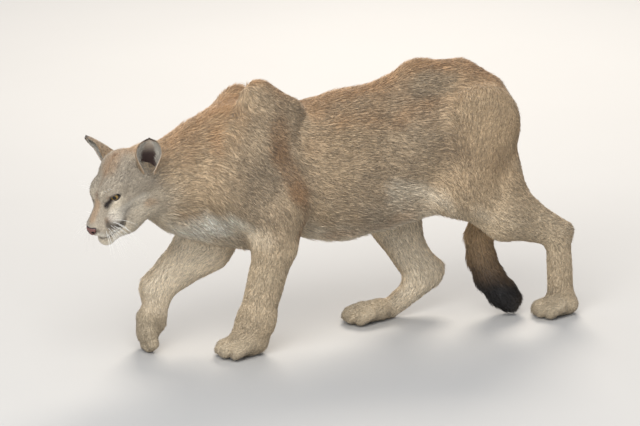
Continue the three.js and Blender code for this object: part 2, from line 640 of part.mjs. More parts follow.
const group = new THREE.Group();
for (const [name, solid] of solids) {
  const mesh = largest(welded(solid)).getMesh();
  const geometry = new THREE.BufferGeometry();
  geometry.setAttribute("position", new THREE.BufferAttribute(new Float32Array(mesh.vertProperties), 3));
  geometry.setIndex(new THREE.BufferAttribute(new Uint32Array(mesh.triVerts), 1));
  const material = new THREE.MeshStandardMaterial({ ...(FINISH[name] ?? FLANK), metalness: 0 });
  const made = new THREE.Mesh(geometry, material);
  made.name = name;
  group.add(made);
}
const box = new THREE.Box3().setFromObject(group);
const middle = box.getCenter(new THREE.Vector3());
group.position.set(-middle.x, -middle.y, -box.min.z);

export default group;
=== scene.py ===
# The looks of a life-size museum model of a cougar in mid-stride: skin, coat, face, eyes and whiskers.
# The body is one smooth distance field of tapered muscle masses. The skin lies the coat's depth inside its
# surface, and more than a hundred thousand thin closed tufts stand on the skin.
import math
import time

import bpy
import numpy as np
from mathutils import Matrix


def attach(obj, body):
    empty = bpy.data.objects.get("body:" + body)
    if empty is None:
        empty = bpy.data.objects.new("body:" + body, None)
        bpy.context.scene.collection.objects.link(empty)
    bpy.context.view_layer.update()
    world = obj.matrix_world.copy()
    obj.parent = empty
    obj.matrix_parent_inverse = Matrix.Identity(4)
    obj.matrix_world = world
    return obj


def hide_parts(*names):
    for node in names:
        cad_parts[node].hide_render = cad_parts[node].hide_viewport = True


started = time.time()
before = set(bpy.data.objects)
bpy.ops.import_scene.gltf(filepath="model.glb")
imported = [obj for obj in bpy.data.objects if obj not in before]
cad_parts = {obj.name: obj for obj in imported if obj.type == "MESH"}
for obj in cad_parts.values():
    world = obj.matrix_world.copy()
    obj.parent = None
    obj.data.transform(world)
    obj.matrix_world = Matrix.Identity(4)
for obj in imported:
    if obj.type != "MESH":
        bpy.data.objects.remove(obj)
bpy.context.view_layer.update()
rng = np.random.default_rng(7)


def say(stage):
    print(f"{time.time() - started:6.1f} s  {stage}", flush=True)


# Measures are in millimetres in the animal's own axes, which are the frame's moved by `shift`
shift = np.array((132.34, -1.97, 0.0))
mm = 0.001


def unit(v):
    v = np.asarray(v, float)
    return v / (np.linalg.norm(v, axis=-1, keepdims=True) + 1e-12)


def rowDot(a, b):
    return np.einsum("ij,ij->i", a, b)


# Vectors without their part along the normals.
def alongSkin(v, normals):
    return v - normals * rowDot(v, normals)[:, None]


def smoothStep(low, high, x):
    t = np.clip((x - low) / (high - low), 0, 1)
    return t * t * (3 - 2 * t)


# Linear colour from 0..255 screen levels.
def srgb(*levels):
    c = np.array(levels, float) / 255
    return np.where(c <= 0.04045, c / 12.92, ((c + 0.055) / 1.055) ** 2.4)


# Head axes: forward along the face, left, and up, from the point between the eyes
headPose = {"eyeMid": (-726, -66, 438), "yaw": 23, "pitch": 38}
yaw, pitch = math.radians(headPose["yaw"]), math.radians(headPose["pitch"])
facing = np.array((-math.cos(yaw), -math.sin(yaw), 0))
headForward = facing * math.cos(pitch) + np.array((0, 0, -math.sin(pitch)))
headUp = facing * math.sin(pitch) + np.array((0, 0, math.cos(pitch)))
headLeft = np.array((math.sin(yaw), -math.cos(yaw), 0))
headAxes = np.stack((headForward, headLeft, headUp))
eyeMid = np.array(headPose["eyeMid"], float)


def inHead(*flu):
    return eyeMid + np.asarray(flu, float) @ headAxes


def toHead(p):
    return (p - eyeMid) @ headAxes.T


# A mass, and its mirror image after it.
def bothSides(a, b, ra, rb, wide):
    mirror = [(x, -y, z) for x, y, z in (a, b)]
    return [(a, b, ra, rb, wide), (*mirror, ra, rb, wide)]


# Masses: start, end, radius at each, and width across as a share of depth.
# A mass of the trunk, neck, shoulders, legs or tail runs the way its hair lies.
trunkMasses = [
    ((-400, 0, 422), (-90, 0, 414), 136, 166, 0.64),
    ((-90, 0, 414), (130, 0, 430), 166, 146, 0.72),
    ((110, 0, 470), (248, 0, 508), 140, 104, 0.84),
    ((250, 0, 520), (298, 0, 470), 84, 68, 0.9),
    ((-210, 0, 546), (-80, 0, 552), 34, 34, 1),
    ((-80, 0, 552), (112, 0, 612), 34, 36, 1),
    ((112, 0, 612), (212, 0, 602), 36, 48, 1),
    ((-500, 0, 385), (-340, 0, 330), 78, 84, 0.85),
    *bothSides((20, -30, 318), (150, -80, 345), 46, 42, 0.6),
]
neckMasses = [
    ((-560, -18, 452), (-380, 0, 492), 80, 112, 0.8),
    ((-572, -20, 430), (-440, 0, 420), 70, 100, 0.85),
]


def shoulderMasses(side, back, lift):
    return [
        ((-330 + back, side * 56, 626 + lift), (-392 + back, side * 98, 440 + lift), 36, 70, 0.56),
        ((-318 + back, side * 54, 628 + lift), (-248 + back, side * 50, 590 + lift), 34, 32, 0.8),
        ((-296 + back, side * 70, 575 + lift), (-285 + back, side * 98, 370 + lift / 2), 46, 58, 0.5),
        ((-392 + back, side * 96, 420 + lift), (-300 + back, side * 98, 330 + lift / 3), 66, 50, 0.62),
    ]


legMasses = {
    "leftFore": [
        ((-285, -96, 345), (-298, -90, 270), 54, 52, 0.78),
        ((-298, -90, 270), (-338, -64, 82), 52, 44, 0.78),
        ((-338, -64, 82), (-356, -60, 44), 44, 43, 0.92),
    ],
    "rightFore": [
        ((-330, 88, 322), (-410, 78, 246), 62, 70, 0.7),
        ((-410, 78, 244), (-538, 66, 156), 70, 42, 0.74),
        ((-540, 66, 150), (-548, 62, 72), 35, 30, 0.95),
    ],
    "leftHind": [
        ((242, -82, 500), (182, -100, 350), 102, 66, 0.52),
        ((278, -58, 460), (316, -92, 306), 62, 46, 0.6),
        ((190, -100, 350), (300, -92, 265), 62, 54, 0.62),
        ((300, -92, 268), (428, -78, 212), 54, 34, 0.68),
        ((312, -84, 326), (424, -78, 238), 36, 22, 0.7),
        ((425, -78, 220), (468, -75, 212), 26, 20, 0.75),
        ((450, -76, 196), (458, -72, 60), 33, 34, 0.82),
    ],
    "rightHind": [
        ((242, 82, 500), (120, 98, 360), 102, 74, 0.52),
        ((278, 58, 470), (222, 86, 368), 64, 56, 0.62),
        ((110, 98, 350), (98, 92, 240), 72, 62, 0.66),
        ((83, 92, 240), (142, 76, 122), 61, 46, 0.7),
        ((158, 74, 124), (192, 72, 112), 28, 21, 0.75),
        ((170, 74, 92), (72, 68, 27), 36, 27, 0.82),
    ],
}
# Paws: centre on the ground, heading, tilt, size
pawPlaces = {
    "leftFore": ((-362, -64, 0), 3, 0, 1.16),
    "rightFore": ((-546, 62, 61), 0, -84, 0.9),
    "leftHind": ((454, -76, 0), 2, 0, 1.03),
    "rightHind": ((16, 64, 0), 0, 0, 1.06),
}
fillets = {"leftFore": 30, "rightFore": 40, "leftHind": 34, "rightHind": 34}
tailLine = [
    (276, 0, 540),
    (318, 1, 470),
    (318, 1, 370),
    (288, 0, 270),
    (274, 0, 200),
    (277, -5, 147),
    (294, -12, 100),
    (322, -20, 60),
    (340, -25, 40),
]
tailRadius = [46, 36, 32, 32, 34, 36, 37, 36, 34]
skullMasses = [
    ((-38, 0, -16), (-80, 0, -16), 45, 56, 0.98),
    ((-80, 0, -18), (-130, 0, -52), 55, 50, 1),
    ((56, 0, -44), (-10, 0, -20), 20, 27, 0.95),
    *bothSides((-14, 28, -34), (-84, 42, -40), 25, 36, 1),
    ((0, 18, 8), (-30, 40, 7), 11, 14, 1),
    ((0, -18, 7), (-26, -34, 2), 10, 9, 1),
]
muzzleMasses = [
    *bothSides((50, 15, -55), (16, 19, -58), 23, 26, 1),
    ((64, 0, -45), (40, 0, -40), 14, 18, 1.15),
]
jawMasses = [
    ((52, 0, -90), (-20, 0, -92), 22, 34, 1),
    *bothSides((-10, 18, -92), (-84, 30, -88), 34, 42, 1),
    ((-90, 0, -74), (-140, 0, -60), 48, 50, 1),
]
# In millimetres and head axes, with the cornea's half angle in radians
eyes = {
    "radius": 15.5,
    "centre": (-15.7, 28.8, -6.9),
    "look": (0.74, 0.64, 0.2),
    "slant": (-0.62, 0.74, 0.05),
    "halfLength": 14.5,
    "halfHeight": 7.0,
    "irisRadius": 10.0,
    "pupilRadius": 4.2,
    "gazeForward": 0.14,
    "corneaBulge": 0.7,
    "corneaAngle": 0.75,
}


def eyeCentre(side):
    f, l, u = eyes["centre"]
    return inHead(f, l * side, u)


# Distances. Each mass gives the distance to a tapered capsule, its width across scaled by `wide`.
def massDistance(p, mass, across):
    a, b, ra, rb, wide = mass
    a, b = np.asarray(a, float), np.asarray(b, float)
    ab = b - a
    t = np.clip(((p - a) @ ab) / (ab @ ab), 0, 1)
    q = p - a - t[:, None] * ab
    r = ra + t * (rb - ra)
    s = rowDot(q, q)
    if wide == 1:
        return np.sqrt(s + 1e-6) - r
    m = (q @ across) ** 2
    reach = np.sqrt(s + m * (1 / wide**2 - 1) + 1e-6)
    steep = np.sqrt(s + m * (1 / wide**4 - 1) + 1e-6)
    return (reach - r) * reach / steep


def smoothMin(a, b, k):
    h = np.maximum(k - np.abs(a - b), 0) / k
    return np.minimum(a, b) - h * h * k * 0.25


def smoothMax(a, b, k):
    return -smoothMin(-a, -b, k)


sideways = np.array((0.0, 1.0, 0.0))


def blend(p, masses, k, across=sideways, d=None):
    for mass in masses:
        m = massDistance(p, mass, across)
        d = m if d is None else smoothMin(d, m, k)
    return d


def headMassesWorld(masses):
    return [(inHead(*a), inHead(*b), ra, rb, wide) for a, b, ra, rb, wide in masses]


def pawMasses(name):
    centre, heading, tilt, size = pawPlaces[name]
    h, t = math.radians(heading), math.radians(tilt)
    turnZ = np.array(((math.cos(h), -math.sin(h), 0), (math.sin(h), math.cos(h), 0), (0, 0, 1)))
    turnY = np.array(((math.cos(t), 0, math.sin(t)), (0, 1, 0), (-math.sin(t), 0, math.cos(t))))

    def at(forward, left, up):
        return np.array(centre) + turnZ @ turnY @ (np.array((-forward, -left, up)) * size)

    palm = [(at(-20, 0, 25), at(22, 0, 22), 27, 26, 1.3)]
    toes = []
    for toe in range(4):
        spread = toe - 1.5
        reach = 56 - 7 * spread * spread
        toes.append((at(reach - 30, spread * 17, 26), at(reach, spread * 21, 17), 17, 16, 1))
    return palm, toes, unit(at(0, 1, 0) - at(0, 0, 0))


pawParts = {name: pawMasses(name) for name in pawPlaces}
tailMasses = [
    (tailLine[i], tailLine[i + 1], tailRadius[i], tailRadius[i + 1], 1) for i in range(len(tailLine) - 1)
]
skullWorld, muzzleWorld, jawWorld = map(headMassesWorld, (skullMasses, muzzleMasses, jawMasses))
shoulders = [shoulderMasses(-1, 0, 0), shoulderMasses(1, -8, -38)]


def headField(p):
    d = smoothMin(blend(p, skullWorld, 22, headLeft), blend(p, muzzleWorld, 10, headLeft), 14)
    for side in (1, -1):
        ball = np.linalg.norm(p - eyeCentre(side), axis=1) - (eyes["radius"] + 3.5)
        d = smoothMin(d, ball, 10)
    # The crease between the lips stays sharp, and behind the corner of the mouth the cheek runs smooth
    width = 9 + 20 * smoothStep(0, -45, toHead(p)[:, 0])
    return smoothMin(d, blend(p, jawWorld, 24, headLeft), width)


# Distance to the whole animal's surface: trunk, neck, shoulders, legs, tail and head joined by fillets.
def bodyField(p):
    d = smoothMin(blend(p, trunkMasses, 50), blend(p, neckMasses, 40), 60)
    for masses in shoulders:
        d = smoothMin(d, blend(p, masses, 40), 52)
    for name, masses in legMasses.items():
        palm, toes, across = pawParts[name]
        paw = blend(p, toes, 3, across, blend(p, palm, 3, across))
        d = smoothMin(d, smoothMin(blend(p, masses, 26), paw, 18), fillets[name])
    d = smoothMin(d, blend(p, tailMasses, 14), 10)
    d = smoothMin(d, headField(p), 24)
    return np.maximum(d, -p[:, 2])


def gradient(field, p, step=0.6):
    shifts = np.eye(3) * step
    return np.stack([field(p + s) - field(p - s) for s in shifts], 1) / (2 * step)


def ontoField(field, p, steps):
    for _ in range(steps):
        g = gradient(field, p)
        p = p - g * (field(p) / (rowDot(g, g) + 1e-9))[:, None]
    return p


def onLines(lines, index):
    return np.stack([lines[a][index[:, a]] for a in range(3)], 1)


# The surface of a field on a grid of unequal spacing: one point in each cell that the surface crosses,
# at the mean of the crossings on the cell's edges, and a quad round each crossed grid edge
def surfaceNet(field, lines):
    block = 5  # cells along the side of each block that is searched for the surface
    slack = 6  # how far a field's value may be from the true distance
    far = 1e3  # stands for any distance away from the surface
    lot = 200000  # points worked out at a time
    corners = [(i, j, k) for i in (0, 1) for j in (0, 1) for k in (0, 1)]
    count = [len(x) for x in lines]
    value = np.full(count, far)
    spans = [range(0, n, block) for n in count]
    starts = np.array([(i, j, k) for i in spans[0] for j in spans[1] for k in spans[2]])
    ends = np.minimum(starts + block, np.array(count) - 1)
    low, high = onLines(lines, starts), onLines(lines, ends)
    reach = np.linalg.norm(high - low, axis=1) / 2
    middle = field((low + high) / 2)
    near = np.abs(middle) < reach * 1.5 + slack
    for (i, j, k), m in zip(starts[~near], middle[~near]):
        value[i : i + block, j : j + block, k : k + block] = far * np.sign(m)
    wanted = np.zeros(count, bool)
    for i, j, k in starts[near]:
        wanted[i : i + block + 1, j : j + block + 1, k : k + block + 1] = True
    at = np.argwhere(wanted)
    for first in range(0, len(at), lot):
        part = at[first : first + lot]
        value[tuple(part.T)] = field(onLines(lines, part))
    inside = value < 0
    total = sum(
        inside[i : count[0] - 1 + i, j : count[1] - 1 + j, k : count[2] - 1 + k].astype(np.int8)
        for i, j, k in corners
    )
    active = (total > 0) & (total < 8)
    cells = np.argwhere(active)
    index = np.full(active.shape, -1)
    index[active] = np.arange(len(cells))
    crossing = np.zeros((len(cells), 3))
    crossings = np.zeros(len(cells))
    for corner in corners:
        for axis in (a for a in range(3) if not corner[a]):
            other = list(corner)
            other[axis] = 1
            va = value[tuple((cells + corner).T)]
            vb = value[tuple((cells + other).T)]
            cut = (va < 0) != (vb < 0)
            t = np.where(cut, va / np.where(cut, va - vb, 1), 0)
            place = np.array(corner, float) + t[:, None] * (np.array(other) - np.array(corner))
            crossing[cut] += place[cut]
            crossings[cut] += 1
    local = crossing / crossings[:, None]
    low, high = onLines(lines, cells), onLines(lines, cells + 1)
    points = low + (high - low) * local
    quads = []
    for axis in range(3):
        inner = [slice(1, n - 1) for n in count]
        here, there = list(inner), list(inner)
        here[axis], there[axis] = slice(0, count[axis] - 1), slice(1, count[axis])
        a, b = inside[tuple(here)], inside[tuple(there)]
        base = np.argwhere(a != b)
        flip = ~a[tuple(base.T)]
        for other in range(3):
            if other != axis:
                base[:, other] += 1
        u, v = (axis + 1) % 3, (axis + 2) % 3

        def cell(du, dv):
            c = base.copy()
            c[:, u] -= du
            c[:, v] -= dv
            return index[tuple(c.T)]

        quad = np.stack([cell(1, 1), cell(0, 1), cell(0, 0), cell(1, 0)], 1)
        quad[flip] = quad[flip][:, ::-1]
        quads.append(quad)
    return points, np.concatenate(quads)


# Grid lines that are `fine` apart between fineLow and fineHigh and `coarse` apart elsewhere.
def spacedLines(low, high, coarse, fineLow, fineHigh, fine):
    x = [low]
    while x[-1] < high:
        x.append(x[-1] + (fine if fineLow - coarse / 2 < x[-1] < fineHigh else coarse))
    return np.array(x)


# Meshes from whole arrays: points in animal millimetres, faces of three or four corners
def makeMesh(name, points, faces, material, colours=None, layers=None, uv=None):
    mesh = bpy.data.meshes.new(name)
    points = (points + shift) * mm
    faces = np.asarray(faces)
    mesh.vertices.add(len(points))
    mesh.vertices.foreach_set("co", points.astype(np.float32).ravel())
    mesh.loops.add(faces.size)
    mesh.loops.foreach_set("vertex_index", faces.astype(np.int32).ravel())
    mesh.polygons.add(len(faces))
    mesh.polygons.foreach_set("loop_start", np.arange(0, faces.size, faces.shape[1], dtype=np.int32))
    mesh.polygons.foreach_set("use_smooth", np.full(len(faces), True))
    mesh.update(calc_edges=True)
    if colours is not None:
        layer = mesh.attributes.new("coatColour", "FLOAT_COLOR", "POINT")
        layer.data.foreach_set("color", np.c_[colours, np.ones(len(colours))].astype(np.float32).ravel())
    for key, values in (layers or {}).items():
        layer = mesh.attributes.new(key, "FLOAT", "POINT")
        layer.data.foreach_set("value", np.asarray(values, np.float32))
    if uv is not None:
        layer = mesh.uv_layers.new(name="OFBake")
        layer.data.foreach_set("uv", uv.astype(np.float32).ravel())
    made = bpy.data.objects.new(name, mesh)
    bpy.context.scene.collection.objects.link(made)
    mesh.materials.append(material)
    return made


# Materials


def nodeTree(name, sockets):
    material = bpy.data.materials.new(name)
    material.use_nodes = True
    tree = material.node_tree
    shader = tree.nodes["Principled BSDF"]
    for key, value in sockets.items():
        shader.inputs[key].default_value = value
    return material, tree, shader


def addNode(tree, kind, **settings):
    node = tree.nodes.new(kind)
    for key, value in settings.items():
        if key in node.inputs:
            node.inputs[key].default_value = value
        else:
            setattr(node, key, value)
    return node


# A noise's value taken from one range to another.
def ranged(tree, noise, sockets):
    node = addNode(tree, "ShaderNodeMapRange", **sockets)
    tree.links.new(noise.outputs["Fac"], node.inputs["Value"])
    return node.outputs["Result"]


# Relief from a noise's value, in metres.
def embossed(tree, shader, noise, strength, distance):
    node = addNode(tree, "ShaderNodeBump", Strength=strength, Distance=distance)
    tree.links.new(noise.outputs["Fac"], node.inputs["Height"])
    tree.links.new(node.outputs["Normal"], shader.inputs["Normal"])


def mixed(tree, kind, factor, a, b):
    node = tree.nodes.new("ShaderNodeMix")
    node.data_type, node.blend_type = "RGBA", kind
    for socket, value in ((node.inputs[0], factor), (node.inputs[6], a), (node.inputs[7], b)):
        if isinstance(value, bpy.types.NodeSocket):
            tree.links.new(value, socket)
        elif hasattr(value, "__len__"):
            socket.default_value = (*value, 1)
        else:
            socket.default_value = value
    return node.outputs[2]


# Fur colour from the mesh, broken up by fine and broad noise in object space.
def coatMaterial(name, looks):
    sockets = {"Roughness": looks["roughness"], "Sheen Weight": looks["sheen"], "Sheen Roughness": 0.5,
               "Specular IOR Level": looks["specular"]}
    material, tree, shader = nodeTree(name, sockets)
    place = addNode(tree, "ShaderNodeTexCoord")
    colour = addNode(tree, "ShaderNodeAttribute", attribute_name="coatColour")
    fine = addNode(tree, "ShaderNodeTexNoise", Scale=looks["fineScale"], Detail=3.0)
    broad = addNode(tree, "ShaderNodeTexNoise", Scale=looks["broadScale"], Detail=2.0)
    for noise in (fine, broad):
        tree.links.new(place.outputs["Object"], noise.inputs["Vector"])
    value = colour.outputs["Color"]
    for noise, (dark, light) in ((fine, looks["fineRange"]), (broad, looks["broadRange"])):
        tone = ranged(tree, noise, {"From Min": 0.3, "From Max": 0.7, "To Min": dark, "To Max": light})
        value = mixed(tree, "MULTIPLY", 1.0, value, tone)
    tree.links.new(value, shader.inputs["Base Color"])
    if looks["bump"]:
        embossed(tree, shader, fine, looks["bump"], 0.002)
    return material


coatLooks = {
    "roughness": 0.62,
    "sheen": 0.12,
    "specular": 0.25,
    "fineScale": 420.0,
    "fineRange": (0.78, 1.2),
    "broadScale": 14.0,
    "broadRange": (0.9, 1.1),
    "bump": 0.0,
}
coatLook = coatMaterial("coatFur", coatLooks)
skinLook = coatMaterial("underfur", {**coatLooks, "bump": 0.6, "roughness": 0.8})


# Skin

# In millimetres. The head's part of the grid is finer.
bodyCell, headCell = ((7.5, 3.2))
lines = [
    spacedLines(-850, 520, bodyCell, -850, -610, headCell),
    spacedLines(-190, 190, bodyCell, -175, 35, headCell),
    spacedLines(-8, 690, bodyCell, 310, 530, headCell),
]
skinPoints, skinQuads = surfaceNet(bodyField, lines)
skinPoints = ontoField(bodyField, skinPoints, 1)
sole = {"flatBelow": 1.5, "skinAt": 0.1, "tuftsAbove": 2.5}
flat = skinPoints[:, 2] < sole["flatBelow"]
skinPoints[flat, 2] = 0
skinNormals = unit(gradient(bodyField, skinPoints, 1.0))
skinNormals[flat] = (0, 0, -1)
say(f"skin net {len(skinPoints)} points")

# Which part each point belongs to, and the way the hair lies there
partLists = {
    "head": skullWorld + muzzleWorld + jawWorld,
    "trunk": trunkMasses,
    "neck": neckMasses,
    "shoulder": shoulders[0] + shoulders[1],
    **legMasses,
    "paws": [m for palm, toes, _ in pawParts.values() for m in palm + toes],
    "tail": tailMasses,
}
partNames = list(partLists)
blendLength = 16  # how far one part's hair and coat measures reach into the next
hairBend = {"trunk": (0, 0, -0.28), "neck": (0, 0, -0.28), "shoulder": (0.75, 0, 0)}
partWeights = {}
closeness = {}
for name, masses in partLists.items():
    across = headLeft if name == "head" else sideways
    closeness[name] = np.stack([massDistance(skinPoints, m, across) for m in masses], 1)
nearest = np.min([c.min(1) for c in closeness.values()], 0)
lie = np.zeros_like(skinPoints)
noseTip = inHead(82, 0, -38)
totalWeight = np.zeros(len(skinPoints))
for name, masses in partLists.items():
    w = np.exp(-(closeness[name] - nearest[:, None]) / blendLength)
    partWeights[name] = w.sum(1)
    totalWeight += partWeights[name]
    ways = np.stack([unit(np.asarray(m[1], float) - np.asarray(m[0], float)) for m in masses])
    if name == "head":
        lie += unit(skinPoints - noseTip) * partWeights[name][:, None]
    elif name in hairBend:
        lie += w @ unit(ways + np.array(hairBend[name]))
    else:
        lie += w @ ways
for name in partNames:
    partWeights[name] /= totalWeight
lie = unit(alongSkin(lie, skinNormals) + 1e-6)
say("lie of the coat")

# Coat measures by part, in millimetres: depth of the coat, and the tufts' length, spacing and width.
# The lift of the tufts from the skin is in degrees.
foreCoat = {"depth": 3.2, "length": 13.0, "spacing": 3.3, "width": 1.5, "lift": 14}
hindCoat = {"depth": 3.6, "length": 14.0, "spacing": 3.5, "width": 1.6, "lift": 14}
coat = {
    "head": {"depth": 2.6, "length": 9.5, "spacing": 2.5, "width": 1.5, "lift": 17},
    "trunk": {"depth": 5.0, "length": 21.0, "spacing": 3.9, "width": 1.9, "lift": 15},
    "neck": {"depth": 5.0, "length": 21.0, "spacing": 3.8, "width": 1.8, "lift": 16},
    "shoulder": {"depth": 4.5, "length": 18.0, "spacing": 3.7, "width": 1.8, "lift": 14},
    "leftFore": foreCoat,
    "rightFore": foreCoat,
    "leftHind": hindCoat,
    "rightHind": hindCoat,
    "paws": {"depth": 1.8, "length": 7.0, "spacing": 2.6, "width": 1.5, "lift": 17},
    "tail": {"depth": 4.5, "length": 19.0, "spacing": 3.4, "width": 1.7, "lift": 16},
}


def coatValue(key):
    return sum(partWeights[name] * coat[name][key] for name in partNames)


headPoint = toHead(skinPoints)
fw, lf, up = headPoint[:, 0], np.abs(headPoint[:, 1]), headPoint[:, 2]
onHead = partWeights["head"]
onTrunk = partWeights["trunk"] + partWeights["neck"] + partWeights["shoulder"]
facePart = onHead * smoothStep(-110, 10, fw)  # 1 at the muzzle, 0 behind the cheeks
muzzlePart = onHead * smoothStep(15, 45, fw)
under = smoothStep(0.1, -0.75, skinNormals[:, 2])
length = coatValue("length") * (1 - 0.38 * facePart) * (1 - 0.45 * muzzlePart)
length = length * (1 + 0.35 * onTrunk * under)
depth = coatValue("depth") * (1 - 0.5 * facePart)
spacing = coatValue("spacing") * (1 - 0.1 * facePart)
width = coatValue("width") * (1 - 0.25 * facePart)
lift = np.radians(coatValue("lift"))


# Colour of the coat

palette = {
    "side": srgb(184, 160, 128),
    "grey": srgb(168, 154, 134),
    "rust": srgb(174, 132, 90),
    "pale": srgb(226, 212, 188),
    "white": srgb(240, 232, 216),
    "leg": srgb(200, 180, 150),
    "paw": srgb(188, 172, 146),
    "tail": srgb(184, 152, 112),
    "tailDark": srgb(58, 42, 30),
    "tailTip": srgb(20, 15, 12),
    "face": srgb(164, 152, 134),
    "brown": srgb(112, 84, 60),
    # painted shade, for the crease behind the shoulder
    "creaseShade": srgb(146, 112, 78),
    "dark": srgb(38, 28, 23),
    "pad": srgb(44, 36, 33),
}
# Markings on both sides of the body, with painted shade in the crease behind the shoulder: from, to,
# radius, colour and strength. Here y is the distance from the middle.
bodyMarks = [
    # Painted shade, a darker rusty band, in the crease behind the shoulder from its top to the elbow
    ((-294, 60, 618), (-296, 112, 509), 34, "creaseShade", 0.6),
    ((-296, 112, 509), (-250, 118, 408), 32, "creaseShade", 0.55),
    ((-250, 118, 408), (-236, 108, 310), 30, "creaseShade", 0.6),
    ((-452, 60, 616), (-446, 84, 518), 24, "rust", 0.35),
    ((-540, 70, 376), (-462, 74, 372), 15, "rust", 0.8),
    ((2, 115, 377), (213, 105, 313), 34, "pale", 0.75),
    ((213, 105, 313), (300, 96, 262), 30, "pale", 0.6),
    ((-520, 20, 340), (-440, 90, 330), 55, "white", 0.85),
    ((-400, 95, 330), (-340, 100, 300), 40, "pale", 0.5),
    ((330, 70, 400), (345, 75, 320), 30, "pale", 0.4),
    ((-150, 60, 270), (40, 60, 300), 30, "rust", 0.35),
    ((150, 95, 480), (262, 90, 420), 60, "brown", 0.22),
    ((300, 80, 520), (330, 60, 430), 40, "rust", 0.3),
]
# Markings on the face in head axes: forward, left, up
faceMarks = [
    ((64, 12, -60), (34, 26, -72), 17, "white", 1.0),
    ((52, 0, -104), (-10, 12, -118), 24, "white", 1.0),
    ((44, 32, -46), (24, 38, -66), 13, "dark", 0.75),
    ((40, 26, -38), (24, 32, -44), 9, "brown", 0.5),
    ((18, 22, -13), (-8, 29, -3), 7.5, "dark", 1.0),
    ((14, 26, -12), (2, 32, -6), 9, "dark", 1.0),
    ((4, 28, 4), (-34, 46, 8), 7, "brown", 0.6),
    ((14, 14, 4), (6, 17, 22), 7, "pale", 0.35),
    ((12, 36, -22), (-14, 46, -20), 12, "pale", 0.55),
    ((20, 40, -40), (-50, 64, -56), 20, "white", 0.5),
    ((-30, 58, -60), (-80, 66, -74), 24, "pale", 0.55),
    ((-56, 62, -74), (-84, 64, -96), 15, "rust", 0.5),
    ((10, 0, 10), (-90, 0, 42), 7, "brown", 0.6),
    ((56, 0, -26), (14, 0, -4), 11, "rust", 0.4),
    ((-60, 0, 44), (-130, 0, 10), 30, "rust", 0.35),
    ((-100, 30, 20), (-120, 44, 4), 16, "pale", 0.25),
    ((70, 16, -42), (60, 20, -50), 6, "dark", 0.7),
]


def segmentDistance(p, a, b):
    a, b = np.asarray(a, float), np.asarray(b, float)
    ab = b - a
    t = np.clip(((p - a) @ ab) / (ab @ ab), 0, 1)
    return np.linalg.norm(p - a - t[:, None] * ab, axis=1)


# Smooth noise between -1 and 1: the mean of a few sine waves in fixed directions.
def ripple(p, scale, seed):
    waves = np.random.default_rng(seed).normal(size=(6, 4))
    return sum(np.sin(p @ w[:3] / scale + w[3] * 9) for w in waves) / 3.2


def over(base, colour, amount):
    return base + (colour - base) * np.clip(amount, 0, 1)[:, None]


# Marks as capsules with soft edges, full within the share `core` of the radius.
def marked(c, marks, p, amount, wander, wobble, core):
    for a, b, r, key, strength in marks:
        d = segmentDistance(p, a, b) + wobble * r * wander
        c = over(c, palette[key], amount * smoothStep(r * 1.25, r * core, d) * strength)
    return c


# Colour of the coat from place, slope and part, as painted zones with soft wandering edges.
def coatColours(p, n, weights):
    px, py, pz = p.T
    wander = ripple(p, 26, 3)
    h = toHead(p)
    h[:, 1] = np.abs(h[:, 1])
    body = weights["trunk"] + weights["neck"] + weights["shoulder"]
    c = np.tile(palette["side"], (len(p), 1))
    c = over(c, palette["grey"], body * (0.5 + 0.5 * ripple(p, 60, 5)) * 0.5)
    c = over(c, palette["rust"], body * smoothStep(0.3, 1.0, n[:, 2] + 0.15 * wander) * 0.6)
    c = over(c, palette["pale"], body * smoothStep(-0.25, -0.85, n[:, 2] + 0.15 * wander) * 0.85)
    for name in ("leftFore", "rightFore", "leftHind", "rightHind"):
        low = smoothStep(400, 240, pz)
        c = over(c, palette["leg"], weights[name] * low)
        inward = smoothStep(0.1, 0.9, -n[:, 1] * np.sign(py))
        c = over(c, palette["pale"], weights[name] * inward * 0.75)
    front = smoothStep(-0.3, -0.9, n[:, 0])
    c = over(c, palette["pale"], weights["rightFore"] * front * 0.4)
    c = over(c, palette["paw"], weights["paws"])
    q = np.stack((px, np.abs(py), pz), 1)
    c = marked(c, bodyMarks, q, 1 - weights["head"], wander, 0.25, 0.3)
    t = weights["tail"]
    c = over(c, palette["tail"], t * smoothStep(520, 440, pz) * 0.8)
    c = over(c, palette["tailDark"], t * smoothStep(215, 120, pz + 10 * wander) * 0.85)
    c = over(c, palette["tailTip"], t * smoothStep(130, 70, pz + 8 * wander))
    c = over(c, palette["face"], weights["head"] * smoothStep(-150, -90, h[:, 0]))
    c = over(c, palette["pale"], weights["head"] * smoothStep(-60, -105, h[:, 2]) * 0.85)
    c = marked(c, faceMarks, h, weights["head"], wander, 0.15, 0.45)
    c = over(c, palette["pad"], weights["paws"] * smoothStep(3, 0.5, pz) * 0.9)
    return c


skinColours = coatColours(skinPoints, skinNormals, partWeights)
say("colours")

# Unwrap: each part is a chart wound round its own middle line, laid side by side in the unit square
chartOf = {"head": 0, "trunk": 1, "neck": 1, "shoulder": 1, "leftFore": 2, "rightFore": 3, "leftHind": 4,
           "rightHind": 5, "tail": 6}
legAxis = {
    2: [(-356, -60, 0), (-338, -64, 82), (-298, -90, 270), (-285, -96, 345)],
    3: [(-548, 62, 0), (-540, 66, 150), (-410, 78, 244), (-330, 88, 322)],
    4: [(454, -76, 0), (450, -76, 196), (300, -92, 268), (240, -82, 500)],
    5: [(60, 66, 0), (150, 74, 122), (98, 92, 240), (200, 82, 500)],
    6: [(340, -25, 30), (277, -5, 147), (288, 0, 270), (318, 1, 470)],
}
chartCount = 7
chartPlace = np.array([(0.0, 0.62), (0.0, 0.0), *[(x, 0.62) for x in (0.3, 0.47, 0.64, 0.81)], (0.0, 0.86)])
chartSize = np.array([(0.28, 0.22), (0.98, 0.6), *[(0.15, 0.36)] * 4, (0.28, 0.13)])


